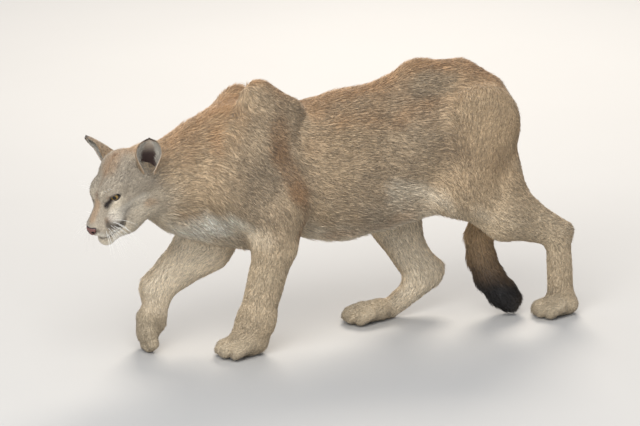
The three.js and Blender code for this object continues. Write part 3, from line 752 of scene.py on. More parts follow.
# Along and round each part's own middle line. A chart is 300 mm long on the head, 1040 mm on the body and
# 640 mm high on legs and tail. turnNear keeps a face's corners on one side of the seam.
def unwrap(p, chart, turnNear=None):
    along = np.zeros(len(p))
    turn = np.zeros(len(p))
    h = toHead(p)
    for c in range(chartCount):
        m = chart == c
        if not m.any():
            continue
        q = p[m]
        if c == 0:
            along[m] = (h[m, 0] + 200) / 300
            turn[m] = np.arctan2(h[m, 1], h[m, 2] + 40) / (2 * np.pi)
        elif c == 1:
            along[m] = (q[:, 0] + 640) / 1040
            turn[m] = np.arctan2(q[:, 1], q[:, 2] - 450) / (2 * np.pi)
        else:
            axis = np.array(legAxis[c], float)
            cx, cy = (np.interp(q[:, 2], axis[:, 2], axis[:, i]) for i in (0, 1))
            along[m] = q[:, 2] / 640
            turn[m] = np.arctan2(q[:, 1] - cy, q[:, 0] - cx) / (2 * np.pi)
    if turnNear is not None:
        turn = turn - np.round(turn - turnNear)
    uv = np.stack((along, np.clip(turn + 0.5, 0, 1)), 1)
    return chartPlace[chart] + chartSize[chart] * np.clip(uv, 0, 1), turn


weightTable = np.stack([partWeights[name] for name in partNames], 1)
x, y = skinPoints[:, 0], skinPoints[:, 1]
pawChart = np.where(y < 0, np.where(x < 0, 2, 4), np.where(x < -300, 3, 5))
pointChart = np.array([chartOf.get(name, -1) for name in partNames])[weightTable.argmax(1)]
pointChart = np.where(pointChart < 0, pawChart, pointChart)
faceChart = pointChart[skinQuads[:, 0]]
_, faceTurn = unwrap(skinPoints[skinQuads].mean(1), faceChart)
corners = skinPoints[skinQuads].reshape(-1, 3)
skinUv, _ = unwrap(corners, np.repeat(faceChart, 4), np.repeat(faceTurn, 4))

# The eyes' openings and the mouth, pressed into the skin


def eyeFrame(side):
    f, l, u = eyes["look"]
    look = unit(np.array((f, l * side, u)) @ headAxes)
    f, l, u = eyes["slant"]
    slant = np.array((f, l * side, u)) @ headAxes
    slant = unit(slant - look * (slant @ look))
    rise = np.cross(look, slant)
    if rise @ headUp < 0:
        rise = -rise
    return look, slant, rise


# Points seen from an eye's middle: where they are, how far ahead and away, and their reach against an
# ellipse round the line of sight, 1 on its edge.
def fromEye(points, side, halfLength, halfHeight):
    look, slant, rise = eyeFrame(side)
    r = points - eyeCentre(side)
    reach = np.hypot((r @ slant) / halfLength, (r @ rise) / halfHeight)
    return r, r @ look, np.linalg.norm(r, axis=1), reach


insetPoints = skinPoints - skinNormals * depth[:, None]
insetPoints[:, 2] = np.where(flat, sole["skinAt"], np.maximum(insetPoints[:, 2], sole["skinAt"]))
socketRadius = 11.0  # of the skin behind the eyeball
rimRadius = eyes["radius"] + 1.0  # of the skin round the opening
for side in (1, -1):
    r, ahead, away, e = fromEye(insetPoints, side, eyes["halfLength"] * 1.2, eyes["halfHeight"] * 1.45)
    inOpening = (ahead > 2) & (e < 1) & (away < 30)
    insetPoints[inOpening] = eyeCentre(side) + unit(r[inOpening]) * socketRadius
    close = (ahead > 0) & (e >= 1) & (away < rimRadius)
    insetPoints[close] = eyeCentre(side) + unit(r[close]) * rimRadius

# The line runs from the front to the corner, as forward and up in head axes
mouth = {
    "line": [(80, -64), (70, -76), (48, -82), (30, -85), (16, -80), (6, -70)],
    "wide": 3.0,
    "deep": 3.4,
    "bare": 1.2,
    "underNose": 9,
}
mouthLine = np.array(mouth["line"], float)


def mouthDistance(fwd, upward):
    q = np.stack((fwd, upward), 1)
    best = np.full(len(q), 1e3)
    for a, b in zip(mouthLine[:-1], mouthLine[1:]):
        best = np.minimum(best, segmentDistance(np.c_[q, np.zeros(len(q))], (*a, 0), (*b, 0)))
    return best


mouthGap = mouthDistance(fw, up)
nearMouth = onHead * smoothStep(mouth["wide"], 0.6, mouthGap) * (fw > -2)
insetPoints -= skinNormals * (nearMouth * mouth["deep"])[:, None]
# Under the nose leather the skin draws back, so that the nostrils are open
underNose = smoothStep(57, 63, fw) * smoothStep(15.5, 12, lf)
underNose = underNose * smoothStep(-53, -49, up) * smoothStep(-32, -36, up)
insetPoints -= skinNormals * (onHead * underNose * mouth["underNose"])[:, None]
skinColours = over(skinColours, palette["dark"], nearMouth * 0.75)
skin = makeMesh("skin", insetPoints, skinQuads, skinLook, skinColours, uv=skinUv)
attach(skin, "root")
fleshNodes = ["torso", "neck", "head", "left_foreleg", "left_forepaw", "right_foreleg", "right_forepaw",
              "left_hind_leg", "left_hind_paw", "right_hind_leg", "right_hind_paw", "tail", "tail_tip"]
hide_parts(*fleshNodes)
say("skin")


# Tufts


# A tuft's shape: depth of its root in the skin, at most and as a share of its length, thickness as a share
# of width, width half way, and tones from root to tip. Its corners on the map are in steps of `mapStep`.
tuft = {"sink": 0.8, "sinkShare": 0.04, "thick": 0.4, "middle": 0.8, "tones": (0.78, 1.0, 1.12)}
mapStep = 0.0007  # half the width of a tuft's patch
mapCorners = [(-1, 0), (1, 0), (0, 0.6), (-0.8, 1), (0.8, 1), (0, 1.4)]
mapTip = (0, 2)


# Closed tapered blades: a triangle of corners at the root, another half way on the longer kind, a point.
# Each leans from the skin by `rise`, and the outer half of the longer kind bends back towards it.
def makeTufts(name, root, normal, way, size, broad, rise, colour, uv, segments):
    n = len(root)
    side = np.cross(normal, way)
    out = np.cos(rise)[:, None] * way + np.sin(rise)[:, None] * normal
    bent = np.cos(rise * 0.35)[:, None] * way + np.sin(rise * 0.35)[:, None] * normal
    base = root - normal * np.minimum(tuft["sink"], size * tuft["sinkShare"])[:, None]
    b = broad[:, None]
    rings = [(base, 1.0)]
    tip = base + out * size[:, None]
    if segments == 2:
        middle = base + out * (size * 0.5)[:, None]
        rings.append((middle, tuft["middle"]))
        tip = middle + bent * (size * 0.5)[:, None]
    rootTone, middleTone, tipTone = tuft["tones"]
    points, tones = [], []
    for (place, taper), tone in zip(rings, (rootTone, middleTone)):
        half = side * b * taper / 2
        points += [place - half, place + half, place + normal * b * taper * tuft["thick"]]
        tones += [tone] * 3
    points.append(tip)
    tones.append(tipTone)
    count = len(points)
    faces = [(0, 1, 2)]
    for r in range(len(rings) - 1):
        o = r * 3
        for i in range(3):
            j = (i + 1) % 3
            faces += [(o + i, o + 3 + i, o + 3 + j), (o + i, o + 3 + j, o + j)]
    o = (len(rings) - 1) * 3
    faces += [(o + i, count - 1, o + (i + 1) % 3) for i in range(3)]
    faces = np.array(faces)
    allPoints = np.stack(points, 1).reshape(-1, 3)
    allPoints[:, 2] = np.maximum(allPoints[:, 2], 0.2)
    allFaces = (faces[None] + (np.arange(n) * count)[:, None, None]).reshape(-1, 3)
    allColours = (colour[:, None, :] * np.array(tones)[None, :, None]).reshape(-1, 3)
    patch = np.array([*mapCorners[: count - 1], mapTip]) * mapStep
    tuftUv = np.clip(uv[:, None, :] + patch[None], 0.0005, 0.9995)
    cornerUv = tuftUv.reshape(-1, 2)[allFaces.ravel()]
    made = makeMesh(name, allPoints, allFaces, coatLook, allColours, uv=cornerUv)
    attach(made, "root")
    return made


triangles = np.vstack((skinQuads[:, [0, 1, 2]], skinQuads[:, [0, 2, 3]]))
ta, tb, tc = (skinPoints[triangles[:, i]] for i in range(3))
area = np.linalg.norm(np.cross(tb - ta, tc - ta), axis=1) / 2
density = 1.0 / spacing**2
wanted = area * density[triangles].mean(1) * 1.0
pick = np.floor(wanted + rng.random(len(wanted))).astype(int)
chosen = np.repeat(np.arange(len(triangles)), pick)
r1, r2 = np.sqrt(rng.random(len(chosen))), rng.random(len(chosen))
share = np.stack((1 - r1, r1 * (1 - r2), r1 * r2), 1)


def atRoots(values):
    v = np.asarray(values)[triangles[chosen]]
    return np.einsum("ij,ij...->i...", share, v)


roots = atRoots(insetPoints)
outer = atRoots(skinPoints)
rootNormals = unit(atRoots(skinNormals))
rootLie = unit(alongSkin(atRoots(lie), rootNormals))
rootForward, rootLeft, rootUp = toHead(outer).T
eyeClear = np.ones(len(roots), bool)
eyeShort = np.ones(len(roots))
for side in (1, -1):
    r, ahead, away, e = fromEye(outer, side, eyes["halfLength"] + 2.5, eyes["halfHeight"] + 2.5)
    beforeEye = (ahead > 0) & (away < 32)
    eyeClear &= ~(beforeEye & (e < 1))
    eyeShort = np.where(beforeEye, np.minimum(eyeShort, 0.4 + 0.6 * smoothStep(1, 2.4, e)), eyeShort)
noseClear = ~((rootForward > 60) & (np.abs(rootLeft) < 18) & (rootUp > -54) & (rootUp < -29))
onLips = mouthDistance(rootForward, rootUp) < mouth["bare"]
mouthClear = ~((atRoots(onHead) > 0.5) & onLips & (rootForward > 0))
soleClear = outer[:, 2] > sole["tuftsAbove"]
keep = eyeClear & noseClear & mouthClear & soleClear
chosen, share, eyeShort = chosen[keep], share[keep], eyeShort[keep]
roots, outer, rootNormals, rootLie = roots[keep], outer[keep], rootNormals[keep], rootLie[keep]
rootWeights = {name: atRoots(partWeights[name]) for name in partNames}
rootColours = coatColours(outer, rootNormals, rootWeights)
rootChart = pointChart[triangles[chosen, 0]]
rootUv, _ = unwrap(outer, rootChart)
number = len(roots)
say(f"{number} tufts")

# Each tuft turns a little from the lie, in broad drifts and at random, and differs in length and tone
drift = 0.22 * ripple(outer, 30, 11) + 0.16 * rng.normal(size=number)
sideWay = np.cross(rootNormals, rootLie)
rootLie = unit(rootLie * np.cos(drift)[:, None] + sideWay * np.sin(drift)[:, None])
tuftLength = eyeShort * atRoots(length) * np.clip(rng.normal(1, 0.2, number), 0.55, 1.5)
tuftLength = tuftLength * (1 + 0.15 * ripple(outer, 18, 13))
tuftWidth = atRoots(width) * rng.uniform(0.75, 1.2, number)
tuftLift = atRoots(lift) * np.clip(rng.normal(1, 0.3, number), 0.35, 1.9)
agouti = rng.choice((0.68, 0.87, 1.0, 1.15, 1.34), size=number, p=(0.18, 0.22, 0.25, 0.2, 0.15))
plain = np.clip(rootWeights["paws"] * 0.3 + smoothStep(20, 50, toHead(outer)[:, 0]) * 0.5, 0, 1)
rootColours = np.clip(rootColours * (agouti + (1 - agouti) * plain)[:, None], 0.004, 0.95)

# One or more pieces for each region, none above the most triangles that a piece may have
heaviest = np.stack([rootWeights[name] for name in partNames], 1).argmax(1)
regions = ["trunk", "neck", "shoulder", "leftHind", "rightHind", "tail", "leftFore", "rightFore"]
regions += ["head", "paws"]
mostTriangles = 190000
trianglesOf = {1: 4, 2: 10}  # in a tuft of one or two segments
total = 0
for region in regions:
    segments = 1 if region in ("head", "paws") else 2
    limit = mostTriangles // trianglesOf[segments]
    members = np.flatnonzero(heaviest == partNames.index(region))
    for part, first in enumerate(range(0, len(members), limit)):
        m = members[first : first + limit]
        name = f"coat{region[0].upper()}{region[1:]}{part + 1}"
        made = makeTufts(name, roots[m], rootNormals[m], rootLie[m], tuftLength[m], tuftWidth[m],
                         tuftLift[m], rootColours[m], rootUv[m], segments)
        total += len(made.data.polygons)
say(f"coat {total} triangles")


# Eyes

# Amber iris with fine radial streaks, dark rim, round pupil and a wet clear coat over all.
def eyeMaterial():
    sockets = {"Roughness": 0.12, "Coat Weight": 0.35, "Coat Roughness": 0.03, "Specular IOR Level": 0.25}
    material, tree, shader = nodeTree("eyeball", sockets)
    off = addNode(tree, "ShaderNodeAttribute", attribute_name="offAxis")
    spoke = addNode(tree, "ShaderNodeAttribute", attribute_name="spoke")
    ramp = addNode(tree, "ShaderNodeValToRGB")
    pupil = eyes["pupilRadius"] / eyes["irisRadius"]
    black = srgb(6, 5, 5)
    steps = [(0.0, black), (pupil - 0.02, black), (pupil + 0.03, srgb(96, 74, 34))]
    steps += [(0.62, srgb(156, 128, 70)), (0.84, srgb(128, 102, 54))]
    steps += [(0.95, srgb(46, 34, 20)), (1.0, srgb(18, 14, 12))]
    bar = ramp.color_ramp
    while len(bar.elements) < len(steps):
        bar.elements.new(0.5)
    for element, (at, colour) in zip(bar.elements, steps):
        element.position = at
        element.color = (*colour, 1)
    tree.links.new(off.outputs["Fac"], ramp.inputs["Fac"])
    streak = addNode(tree, "ShaderNodeTexNoise", Scale=7.0, Detail=4.0)
    tree.links.new(spoke.outputs["Fac"], streak.inputs["Vector"])
    tone = ranged(tree, streak, {"To Min": 0.7, "To Max": 1.25})
    iris = mixed(tree, "MULTIPLY", 1.0, ramp.outputs["Color"], tone)
    tree.links.new(iris, shader.inputs["Base Color"])
    return material


# Two colours mixed by noise in object space, with the same noise as relief, and a third by an attribute:
# painted shade in the nose's hollows, and the fur's tone on the lids' outer rows.
def plainMaterial(name, low, high, scale, roughness, bump=0.0, shadeAndFur=None):
    material, tree, shader = nodeTree(name, {"Roughness": roughness})
    place = addNode(tree, "ShaderNodeTexCoord")
    noise = addNode(tree, "ShaderNodeTexNoise", Scale=scale, Detail=4.0)
    tree.links.new(place.outputs["Object"], noise.inputs["Vector"])
    colour = mixed(tree, "MIX", noise.outputs["Fac"], low, high)
    if shadeAndFur is not None:
        deep = addNode(tree, "ShaderNodeAttribute", attribute_name="shadeAndFur")
        colour = mixed(tree, "MIX", deep.outputs["Fac"], colour, shadeAndFur)
    tree.links.new(colour, shader.inputs["Base Color"])
    if bump:
        embossed(tree, shader, noise, bump, 0.001)
    return material


eyeLook = eyeMaterial()
lidLook = plainMaterial("lidRim", srgb(20, 16, 15), srgb(40, 32, 28), 260.0, 0.42, 0.3, srgb(116, 104, 90))


# Quads of a grid of points whose last column joins the first.
def gridFaces(rows, columns):
    i, j = np.meshgrid(np.arange(rows - 1), np.arange(columns), indexing="ij")
    k = (j + 1) % columns
    here, there = i * columns, (i + 1) * columns
    return np.stack((here + j, here + k, there + k, there + j), -1).reshape(-1, 4)


# Sphere swept about its line of sight: angle from it by angle round it, with a bulging cornea.
def eyeball(name, side):
    centre = eyeCentre(side)
    look, slant, rise = eyeFrame(side)
    # The iris looks forward, a little less to the side than the opening faces
    gaze = unit(look + headForward * eyes["gazeForward"])
    a = unit(np.cross(headUp, gaze))
    b = np.cross(gaze, a)
    rows, columns = 40, 56
    off = np.linspace(0, math.pi, rows)[:, None] * np.ones(columns)
    turn = np.ones(rows)[:, None] * np.linspace(0, 2 * math.pi, columns, endpoint=False)
    r = eyes["radius"] - 0.5
    cornea = eyes["corneaBulge"] * np.clip(1 - (off / eyes["corneaAngle"]) ** 2, 0, 1)
    ring = (np.cos(turn)[..., None] * a + np.sin(turn)[..., None] * b) * np.sin(off)[..., None]
    points = centre + (r + cornea)[..., None] * (ring + np.cos(off)[..., None] * gaze)
    iris = np.clip(r * np.sin(np.minimum(off, math.pi / 2)) / eyes["irisRadius"], 0, 1)
    layers = {"offAxis": iris.ravel(), "spoke": (turn * 6).ravel()}
    made = makeMesh(name, points.reshape(-1, 3), gridFaces(rows, columns)[:, ::-1], eyeLook, layers=layers)
    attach(made, "root")
    return made


# The lids' edge, its half length and heights as shares of the eyes' own, and the rim across it: how far
# each row stands outside the edge, and how far proud of the eyeball. The inner corner runs on into the
# tear line.
lidShape = {
    "columns": 72,
    "long": 1.1,
    "upper": 0.78,
    "lower": 1.0,
    "slope": 1.2,
    "hood": 2.2,
    "tearLong": 4.5,
    "tearDrop": 3.0,
    "rim": [(-1.6, -0.9), (-1.0, 0.2), (-0.2, 1.2), (0.9, 1.9)]
    + [(2.2, 2.3), (3.8, 2.3), (5.8, 1.7), (7.6, -1.4)],
}


# Point of the lids' edge in the plane across the look, for s round the opening from the outer corner.
def almondEdge(s, grow):
    c, n = np.cos(s), np.sin(s)
    along = c * (eyes["halfLength"] * lidShape["long"] + grow)
    arch = (1 - np.abs(c) ** 2.2) ** 0.8
    upper = eyes["halfHeight"] * lidShape["upper"] + grow * 0.7
    lower = eyes["halfHeight"] * lidShape["lower"] + grow * 0.6
    across = np.where(n > 0, upper, -lower) * arch
    return along, across + lidShape["slope"] * c


# Rolled rim of both lids: from under the eyeball's front, over the edge and out onto the face.
def lids(name, side):
    centre = eyeCentre(side)
    look, slant, rise = eyeFrame(side)
    columns = lidShape["columns"]
    s = np.linspace(0, 2 * math.pi, columns, endpoint=False)
    inner = smoothStep(0.75, 1.0, -np.cos(s))
    rows, furred = [], []
    for grow, proud in lidShape["rim"]:
        furred.append(smoothStep(1.6, 4.4, grow) * (1 - smoothStep(0.45, 0.9, -np.cos(s))))
        along, across = almondEdge(s, grow)
        along = along - inner * (lidShape["tearLong"] + max(grow, 0) * 0.6)
        across = across - inner * lidShape["tearDrop"]
        reach = np.hypot(along, across)
        scaleBack = np.minimum(reach, eyes["radius"] + 4.0) / np.maximum(reach, 1e-6)
        along, across = along * scaleBack, across * scaleBack
        hood = lidShape["hood"] * smoothStep(-0.1, 0.8, np.sin(s)) * smoothStep(0.5, 3.0, grow)
        shell = eyes["radius"] + proud + hood
        ahead = np.sqrt(np.maximum(shell**2 - along**2 - across**2, 4.0))
        rows.append(centre + along[:, None] * slant + across[:, None] * rise + ahead[:, None] * look)
    points = np.stack(rows).reshape(-1, 3)
    faces = gridFaces(len(rows), columns)
    if side < 0:
        faces = faces[:, ::-1]
    made = makeMesh(name, points, faces, lidLook, layers={"shadeAndFur": np.concatenate(furred)})
    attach(made, "root")
    return made


for name, side in (("leftEye", 1), ("rightEye", -1)):
    ball = eyeball(name, side)
    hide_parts("left_eye" if side > 0 else "right_eye")
    lids(name + "Lids", side)
say("eyes")

# Nose

# In millimetres and head axes. A nostril is a pit by the middle and a slit out to the side, each from,
# to and radius.
nose = {
    "halfWidth": 15.5,
    "halfWidthBelow": 3.6,
    "top": -33.0,
    "bottom": -52.0,
    "behind": 62,
    "proud": 1.4,
    "pit": ((86, 6.0, -42), (66, 9.0, -42), 3.3),
    "slit": ((78, 8.0, -42.0), (68, 18.0, -38.5), 2.0),
    "cell": 1.0,
}


# The head swollen a little inside a rounded wedge, less two slanting nostrils and a groove below.
def noseField(p):
    h = toHead(p)
    f, l, u = h[:, 0], np.abs(h[:, 1]), h[:, 2]
    outside = headField(p) - nose["proud"]
    t = smoothStep(nose["bottom"], nose["top"] - 6, u)
    halfWide = nose["halfWidthBelow"] + (nose["halfWidth"] - nose["halfWidthBelow"]) * t**0.7
    d = smoothMax(outside, (l - halfWide) * 0.9, 3.0)
    d = smoothMax(d, u - nose["top"] - 1.6 * np.cos(l / 8), 3.0)
    d = smoothMax(d, nose["bottom"] - u, 2.0)
    d = smoothMax(d, nose["behind"] - f, 2.0)
    pit, slit = (segmentDistance(np.c_[f, l, u], a, b) - r for a, b, r in (nose["pit"], nose["slit"]))
    d = smoothMax(d, -smoothMin(pit, slit, 2.5), 1.6)
    groove = l - 0.5 + np.clip(u + 44, 0, 8) * 0.3
    return smoothMax(d, -np.maximum(groove, np.abs(outside) - 1.2), 1.2)


# Nose leather in two tones, and a nearly black painted shade for its hollows
noseColours = {"low": srgb(70, 46, 42), "high": srgb(132, 86, 78), "shadeAndFur": srgb(10, 7, 7)}
noseLook = plainMaterial("noseLeather", scale=500.0, roughness=0.42, bump=0.7, **noseColours)
tip = inHead(74, 0, -41)
span = 30  # from the tip to each side of the grid
noseLines = [np.arange(tip[a] - span, tip[a] + span, nose["cell"]) for a in range(3)]
nosePoints, noseQuads = surfaceNet(noseField, noseLines)
nosePoints = ontoField(noseField, nosePoints, 1)
below = nose["proud"] - headField(nosePoints)
# Painted shade: the deeper the leather lies below the nose's shell, in nostrils and groove, the darker
nostrilShade = {"shadeAndFur": smoothStep(0.5, 1.8, below)}
noseMesh = makeMesh("noseLeather", nosePoints, noseQuads, noseLook, layers=nostrilShade)
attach(noseMesh, "root")
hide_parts("nose")
say("nose")

# Ears

ears = {
    "left_ear": {"base": (-116, 57, -9), "axis": (-0.34, 0.36, 0.87), "opening": (0.62, 0.76, 0.1)},
    "right_ear": {"base": (-108, -52, -2), "axis": (-0.04, -0.72, 0.68), "opening": (0.88, 0.12, -0.3)},
}
# In millimetres. The width is half the ear's, and the widest place is a share of the height.
earShape = {"height": 80, "width": 31, "rootWidth": 24, "widest": 0.45}
earShape.update({"depth": 23, "wall": 5.0, "shrink": 1.6})
earLook = coatMaterial("earSkin", {**coatLooks, "bump": 0.5, "roughness": 0.8})


def earFrame(ear):
    base = inHead(*ear["base"])
    rise = unit(np.array(ear["axis"]) @ headAxes)
    opening = unit(np.array(ear["opening"]) @ headAxes)
    front = unit(opening - rise * (opening @ rise))
    across = np.cross(rise, front)
    return base, rise, front, across


# Scoop: v runs up from the root, turnShare from one edge to the other, wall 0 outside and 1 inside.
# Half width grows to the widest place and then rounds in to the tip, and the wrap opens as it rises.
def earPoint(ear, v, turnShare, wall):
    base, rise, front, across = earFrame(ear)
    up0 = np.maximum(v, 0)
    width0, width1, widest = earShape["rootWidth"], earShape["width"], earShape["widest"]
    top = np.clip((v - widest) / 0.56, 0, 1)
    below = width0 + (width1 - width0) * up0 / widest
    half = np.where(v < widest, below, width1 * np.sqrt(1 - top**2.4)) + 1
    deep = earShape["depth"] - 15 * up0**1.5
    wrap = np.radians(150 - 66 * np.minimum(up0 * 1.6, 1))
    thick = earShape["shrink"] * (1 - wall) + wall * (earShape["wall"] * (1 - 0.45 * up0) - 1.0)
    turn = wrap * turnShare
    w = np.maximum(half - thick, half * 0.3)
    d = np.maximum(deep - thick, 1)
    lift0 = earShape["height"] * v - wall * up0**4 * 3 - 1.2
    return (base + lift0[..., None] * rise + (w * np.sin(turn))[..., None] * across
            + (-d * np.cos(turn) + 0.3 * deep)[..., None] * front)


# Grey brown behind with a pale middle, dark rim at the tip, pale hair inside the edges, and painted shade
# in the hollow.
def earColours(v, turnShare, wall):
    shape = v.shape
    back = np.tile(srgb(150, 128, 102), (*shape, 1))
    middle = (smoothStep(0.75, 0.2, np.abs(turnShare)) * smoothStep(0.1, 0.5, v))[..., None]
    back = back * (1 - 0.35 * middle) + srgb(176, 166, 150) * 0.35 * middle
    rim = (smoothStep(0.8, 0.97, v))[..., None]
    back = back * (1 - rim) + srgb(70, 54, 42) * rim
    # Painted shade in the ear's cup, darkest in its middle and low down where it is deepest
    shadeAndFur = (smoothStep(0.95, 0.25, np.abs(turnShare)) * smoothStep(0.95, 0.3, v))[..., None]
    inner = srgb(190, 174, 156) * (1 - shadeAndFur) + srgb(58, 42, 38) * shadeAndFur
    return np.where(wall[..., None] > 0.5, inner, back)


def earMesh(name, ear):
    rows, columns = 30, 40
    v = np.linspace(-0.1, 1, rows)[:, None] * np.ones(2 * columns)
    share = np.concatenate((np.linspace(-1, 1, columns), np.linspace(1, -1, columns)))
    wall = np.concatenate((np.zeros(columns), np.ones(columns)))
    share, wall = np.ones(rows)[:, None] * share, np.ones(rows)[:, None] * wall
    points = earPoint(ear, v, share, wall)
    colours = earColours(v, share, wall)
    faces = gridFaces(rows, 2 * columns)
    made = makeMesh(name, points.reshape(-1, 3), faces, earLook, colours.reshape(-1, 3))
    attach(made, "root")
    return made


# Short fur on the back, and long pale hairs that cross the hollow from its edges.
def earTufts(name, ear):
    back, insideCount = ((2600, 900))

    def drawn(backRange, insideRange):
        return np.concatenate((rng.uniform(*backRange, back), rng.uniform(*insideRange, insideCount)))

    v = drawn((0.0, 0.99), (0.05, 0.92))
    edge = np.sign(rng.uniform(-1, 1, insideCount)) * rng.uniform(0.5, 0.98, insideCount)
    share = np.concatenate((rng.uniform(-1, 1, back), edge))
    wall = np.concatenate((np.zeros(back), np.ones(insideCount)))
    place = earPoint(ear, v, share, wall)
    base, rise, front, across = earFrame(ear)
    step = 0.03
    alongTurn = earPoint(ear, v, share + step, wall) - place
    upwards = unit(earPoint(ear, np.minimum(v + step, 1.0), share, wall) - place + 1e-6)
    normal = unit(np.cross(alongTurn, upwards))
    outwards = place - (base + (v * earShape["height"])[:, None] * rise)
    wrong = rowDot(normal, outwards) < 0
    normal[wrong] *= -1
    normal[back:] *= -1
    way = upwards.copy()
    inward = -np.sign(edge)[:, None] * unit(alongTurn[back:])
    way[back:] = unit(upwards[back:] * 0.7 + inward * 0.8 + front * 0.35)
    way = unit(alongSkin(way, normal))
    size = drawn((4.5, 8), (9, 19))
    size[:back] *= np.where(v[:back] > 0.85, 0.75, 1)
    broad = drawn((1.2, 1.9), (1.0, 1.7))
    slope = drawn((0.18, 0.42), (0.35, 0.8))
    colour = earColours(v, share, wall) * rng.choice((0.6, 0.9, 1.2, 1.45), size=len(v))[:, None]
    colour[back:] = srgb(206, 198, 184) * rng.uniform(0.75, 1.05, insideCount)[:, None]
    # A strip of the map above the legs' charts, one for each ear
    mapStart = 0.305 + (0.4 if ear is ears["right_ear"] else 0)
    uv = np.stack((mapStart + 0.12 * (share + 1) / 2, 0.99 - v * 0.009), 1)
    return makeTufts(name, place, normal, way, size, broad, slope, colour, uv, 1)


for node, label in (("left_ear", "leftEar"), ("right_ear", "rightEar")):
    made = earMesh(label, ears[node])
    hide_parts(node)
    earTufts(label + "Coat", ears[node])
say("ears")

# Whiskers

whiskerLook = plainMaterial("whiskerHair", srgb(222, 218, 208), srgb(244, 242, 236), 60.0, 0.35)
# Lengths and places in millimetres, forward and up in head axes; `root` is the radius of each hair's root
whiskers = {
    "rows": 4,
    "perRow": 5,
    "first": (62, -48),
    "apart": (8.5, 6.5),
    "stagger": 3,
    "long": 78.0,
    "root": 0.42,
    "droop": 0.5,
}
browHairs = {"count": 4, "long": (30, 44), "droop": 0.25}


# Round tapered hairs: each a five-sided tube along a curve that starts along `way` and falls.
def hairs(name, thick, places, ways, sizes, droops):
    steps, sides = 9, 5
    t = np.linspace(0, 1, steps)
    down = np.array((0, 0, -1.0))
    faces, points = [], []
    ringFaces = gridFaces(steps, sides)
    for k, (root, way, size, droop) in enumerate(zip(places, ways, sizes, droops)):
        line = root + way * (t * size)[:, None] + down * (droop * size * t**2)[:, None]
        tangent = unit(np.gradient(line, axis=0))
        a = unit(np.cross(tangent, (0.3, 0.2, 0.93)))
        b = np.cross(tangent, a)
        radius = thick * (1 - 0.9 * t)
        angle = np.arange(sides) * 2 * math.pi / sides
        ring = line[:, None] + radius[:, None, None] * (
            np.cos(angle)[None, :, None] * a[:, None] + np.sin(angle)[None, :, None] * b[:, None])
        points.append(ring.reshape(-1, 3))
        faces.append(ringFaces + k * steps * sides)
    made = makeMesh(name, np.concatenate(points), np.concatenate(faces), whiskerLook)
    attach(made, "root")
    return made


# Roots, directions, lengths and droops of all the hairs, for each side whiskers and then brow hairs.
def hairPlan():
    root, way, size, droop = [], [], [], []
    first, apart = whiskers["first"], whiskers["apart"]
    for side in (1, -1):
        for row in range(whiskers["rows"]):
            for i in range(whiskers["perRow"]):
                f = first[0] - i * apart[0] + (row % 2) * whiskers["stagger"]
                u = first[1] - row * apart[1]
                p = ontoField(headField, inHead(f, side * 34, u)[None], 6)[0]
                n = unit(gradient(headField, p[None]))[0]
                d = n * 0.55 + headLeft * side * 0.3 + headForward * (0.3 - 0.16 * i)
                d = unit(d - headUp * (0.25 + 0.16 * row))
                root.append(p - n * 2.5)
                way.append(unit(d + rng.normal(0, 0.06, 3)))
                size.append(whiskers["long"] * (0.55 + 0.12 * i) * rng.uniform(0.85, 1.1))
                droop.append(whiskers["droop"] * rng.uniform(0.7, 1.4))
        for i in range(browHairs["count"]):
            p = ontoField(headField, inHead(4 - i * 5, side * (25 + i * 4), 18)[None], 5)[0]
            n = unit(gradient(headField, p[None]))[0]
            root.append(p - n * 2)
            way.append(unit(n + headUp * 0.7 + headLeft * side * 0.3 + rng.normal(0, 0.08, 3)))
            size.append(rng.uniform(*browHairs["long"]))
            droop.append(browHairs["droop"])
    return root, way, size, droop


hairs("whiskers", whiskers["root"], *hairPlan())
say("whiskers")

# Floor, light and camera

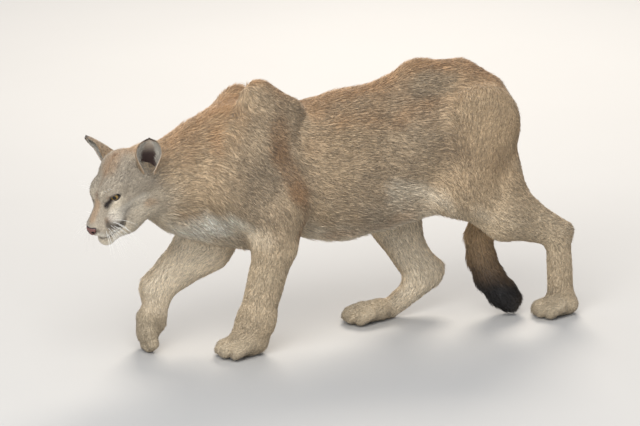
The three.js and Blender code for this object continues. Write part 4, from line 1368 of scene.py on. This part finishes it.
floorLook = plainMaterial("paleFloor", srgb(176, 174, 170), srgb(184, 182, 178), 0.8, 0.85)
floorSize = {"aside": 14.0, "behind": 54.0, "drop": 0.0005}
aside, behind = floorSize["aside"], floorSize["behind"]
floorCorners = [(-aside, -aside, 0), (aside, -aside, 0), (aside, behind, 0), (-aside, behind, 0)]
floorMesh = bpy.data.meshes.new("floor")
floorMesh.from_pydata(floorCorners, [], [(0, 1, 2, 3)])
floorMesh.materials.append(floorLook)
floor = bpy.data.objects.new("floor", floorMesh)
floor.location.z = -floorSize["drop"]
bpy.context.scene.collection.objects.link(floor)

lights = [
    {"name": "key", "at": (-1.6, -2.6, 3.6), "size": 3.0, "power": 165, "colour": (1.0, 0.98, 0.95)},
    {"name": "fill", "at": (-3.4, -2.4, 1.6), "size": 3.5, "power": 70, "colour": (0.92, 0.96, 1.0)},
    {"name": "back", "at": (1.6, 3.0, 3.2), "size": 2.0, "power": 210, "colour": (1.0, 0.93, 0.84)},
]
for light in lights:
    data = bpy.data.lights.new(light["name"], "AREA")
    data.energy, data.size, data.color = light["power"], light["size"], light["colour"]
    lamp = bpy.data.objects.new(light["name"], data)
    lamp.location = light["at"]
    away = np.array(light["at"]) - np.array((0, 0, 0.35))
    heading = math.atan2(away[1], away[0])
    lamp.rotation_euler = (math.atan2(math.hypot(away[0], away[1]), away[2]), 0, heading + math.pi / 2)
    bpy.context.scene.collection.objects.link(lamp)
world = bpy.data.worlds.new("studio")
world.use_nodes = True
sky = world.node_tree.nodes["Background"]
sky.inputs["Color"].default_value = (0.82, 0.88, 1.0, 1)
sky.inputs["Strength"].default_value = 0.62
bpy.context.scene.world = world

# The photo's camera: place in the animal's axes, the picture's own right and up, and the lens
view = {
    "at": (-5378, -12332, 4149),
    "right": (0.9195, -0.3929, -0.0084),
    "up": (0.1157, 0.2503, 0.9612),
    "lens": 328.1,
}
cameraData = bpy.data.cameras.new("camera")
cameraData.lens, cameraData.sensor_width = view["lens"], 36
cameraData.clip_end = 200
camera = bpy.data.objects.new("camera", cameraData)
right, above = unit(view["right"]), unit(view["up"])
pose = np.eye(4)
pose[:3, :3] = np.stack((right, above, np.cross(right, above)), 1)
pose[:3, 3] = (np.array(view["at"]) + shift) * mm
camera.matrix_world = Matrix(pose.tolist())
bpy.context.scene.collection.objects.link(camera)
bpy.context.scene.camera = camera
bpy.context.scene.view_settings.view_transform = "Standard"

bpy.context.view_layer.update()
say("scene done")
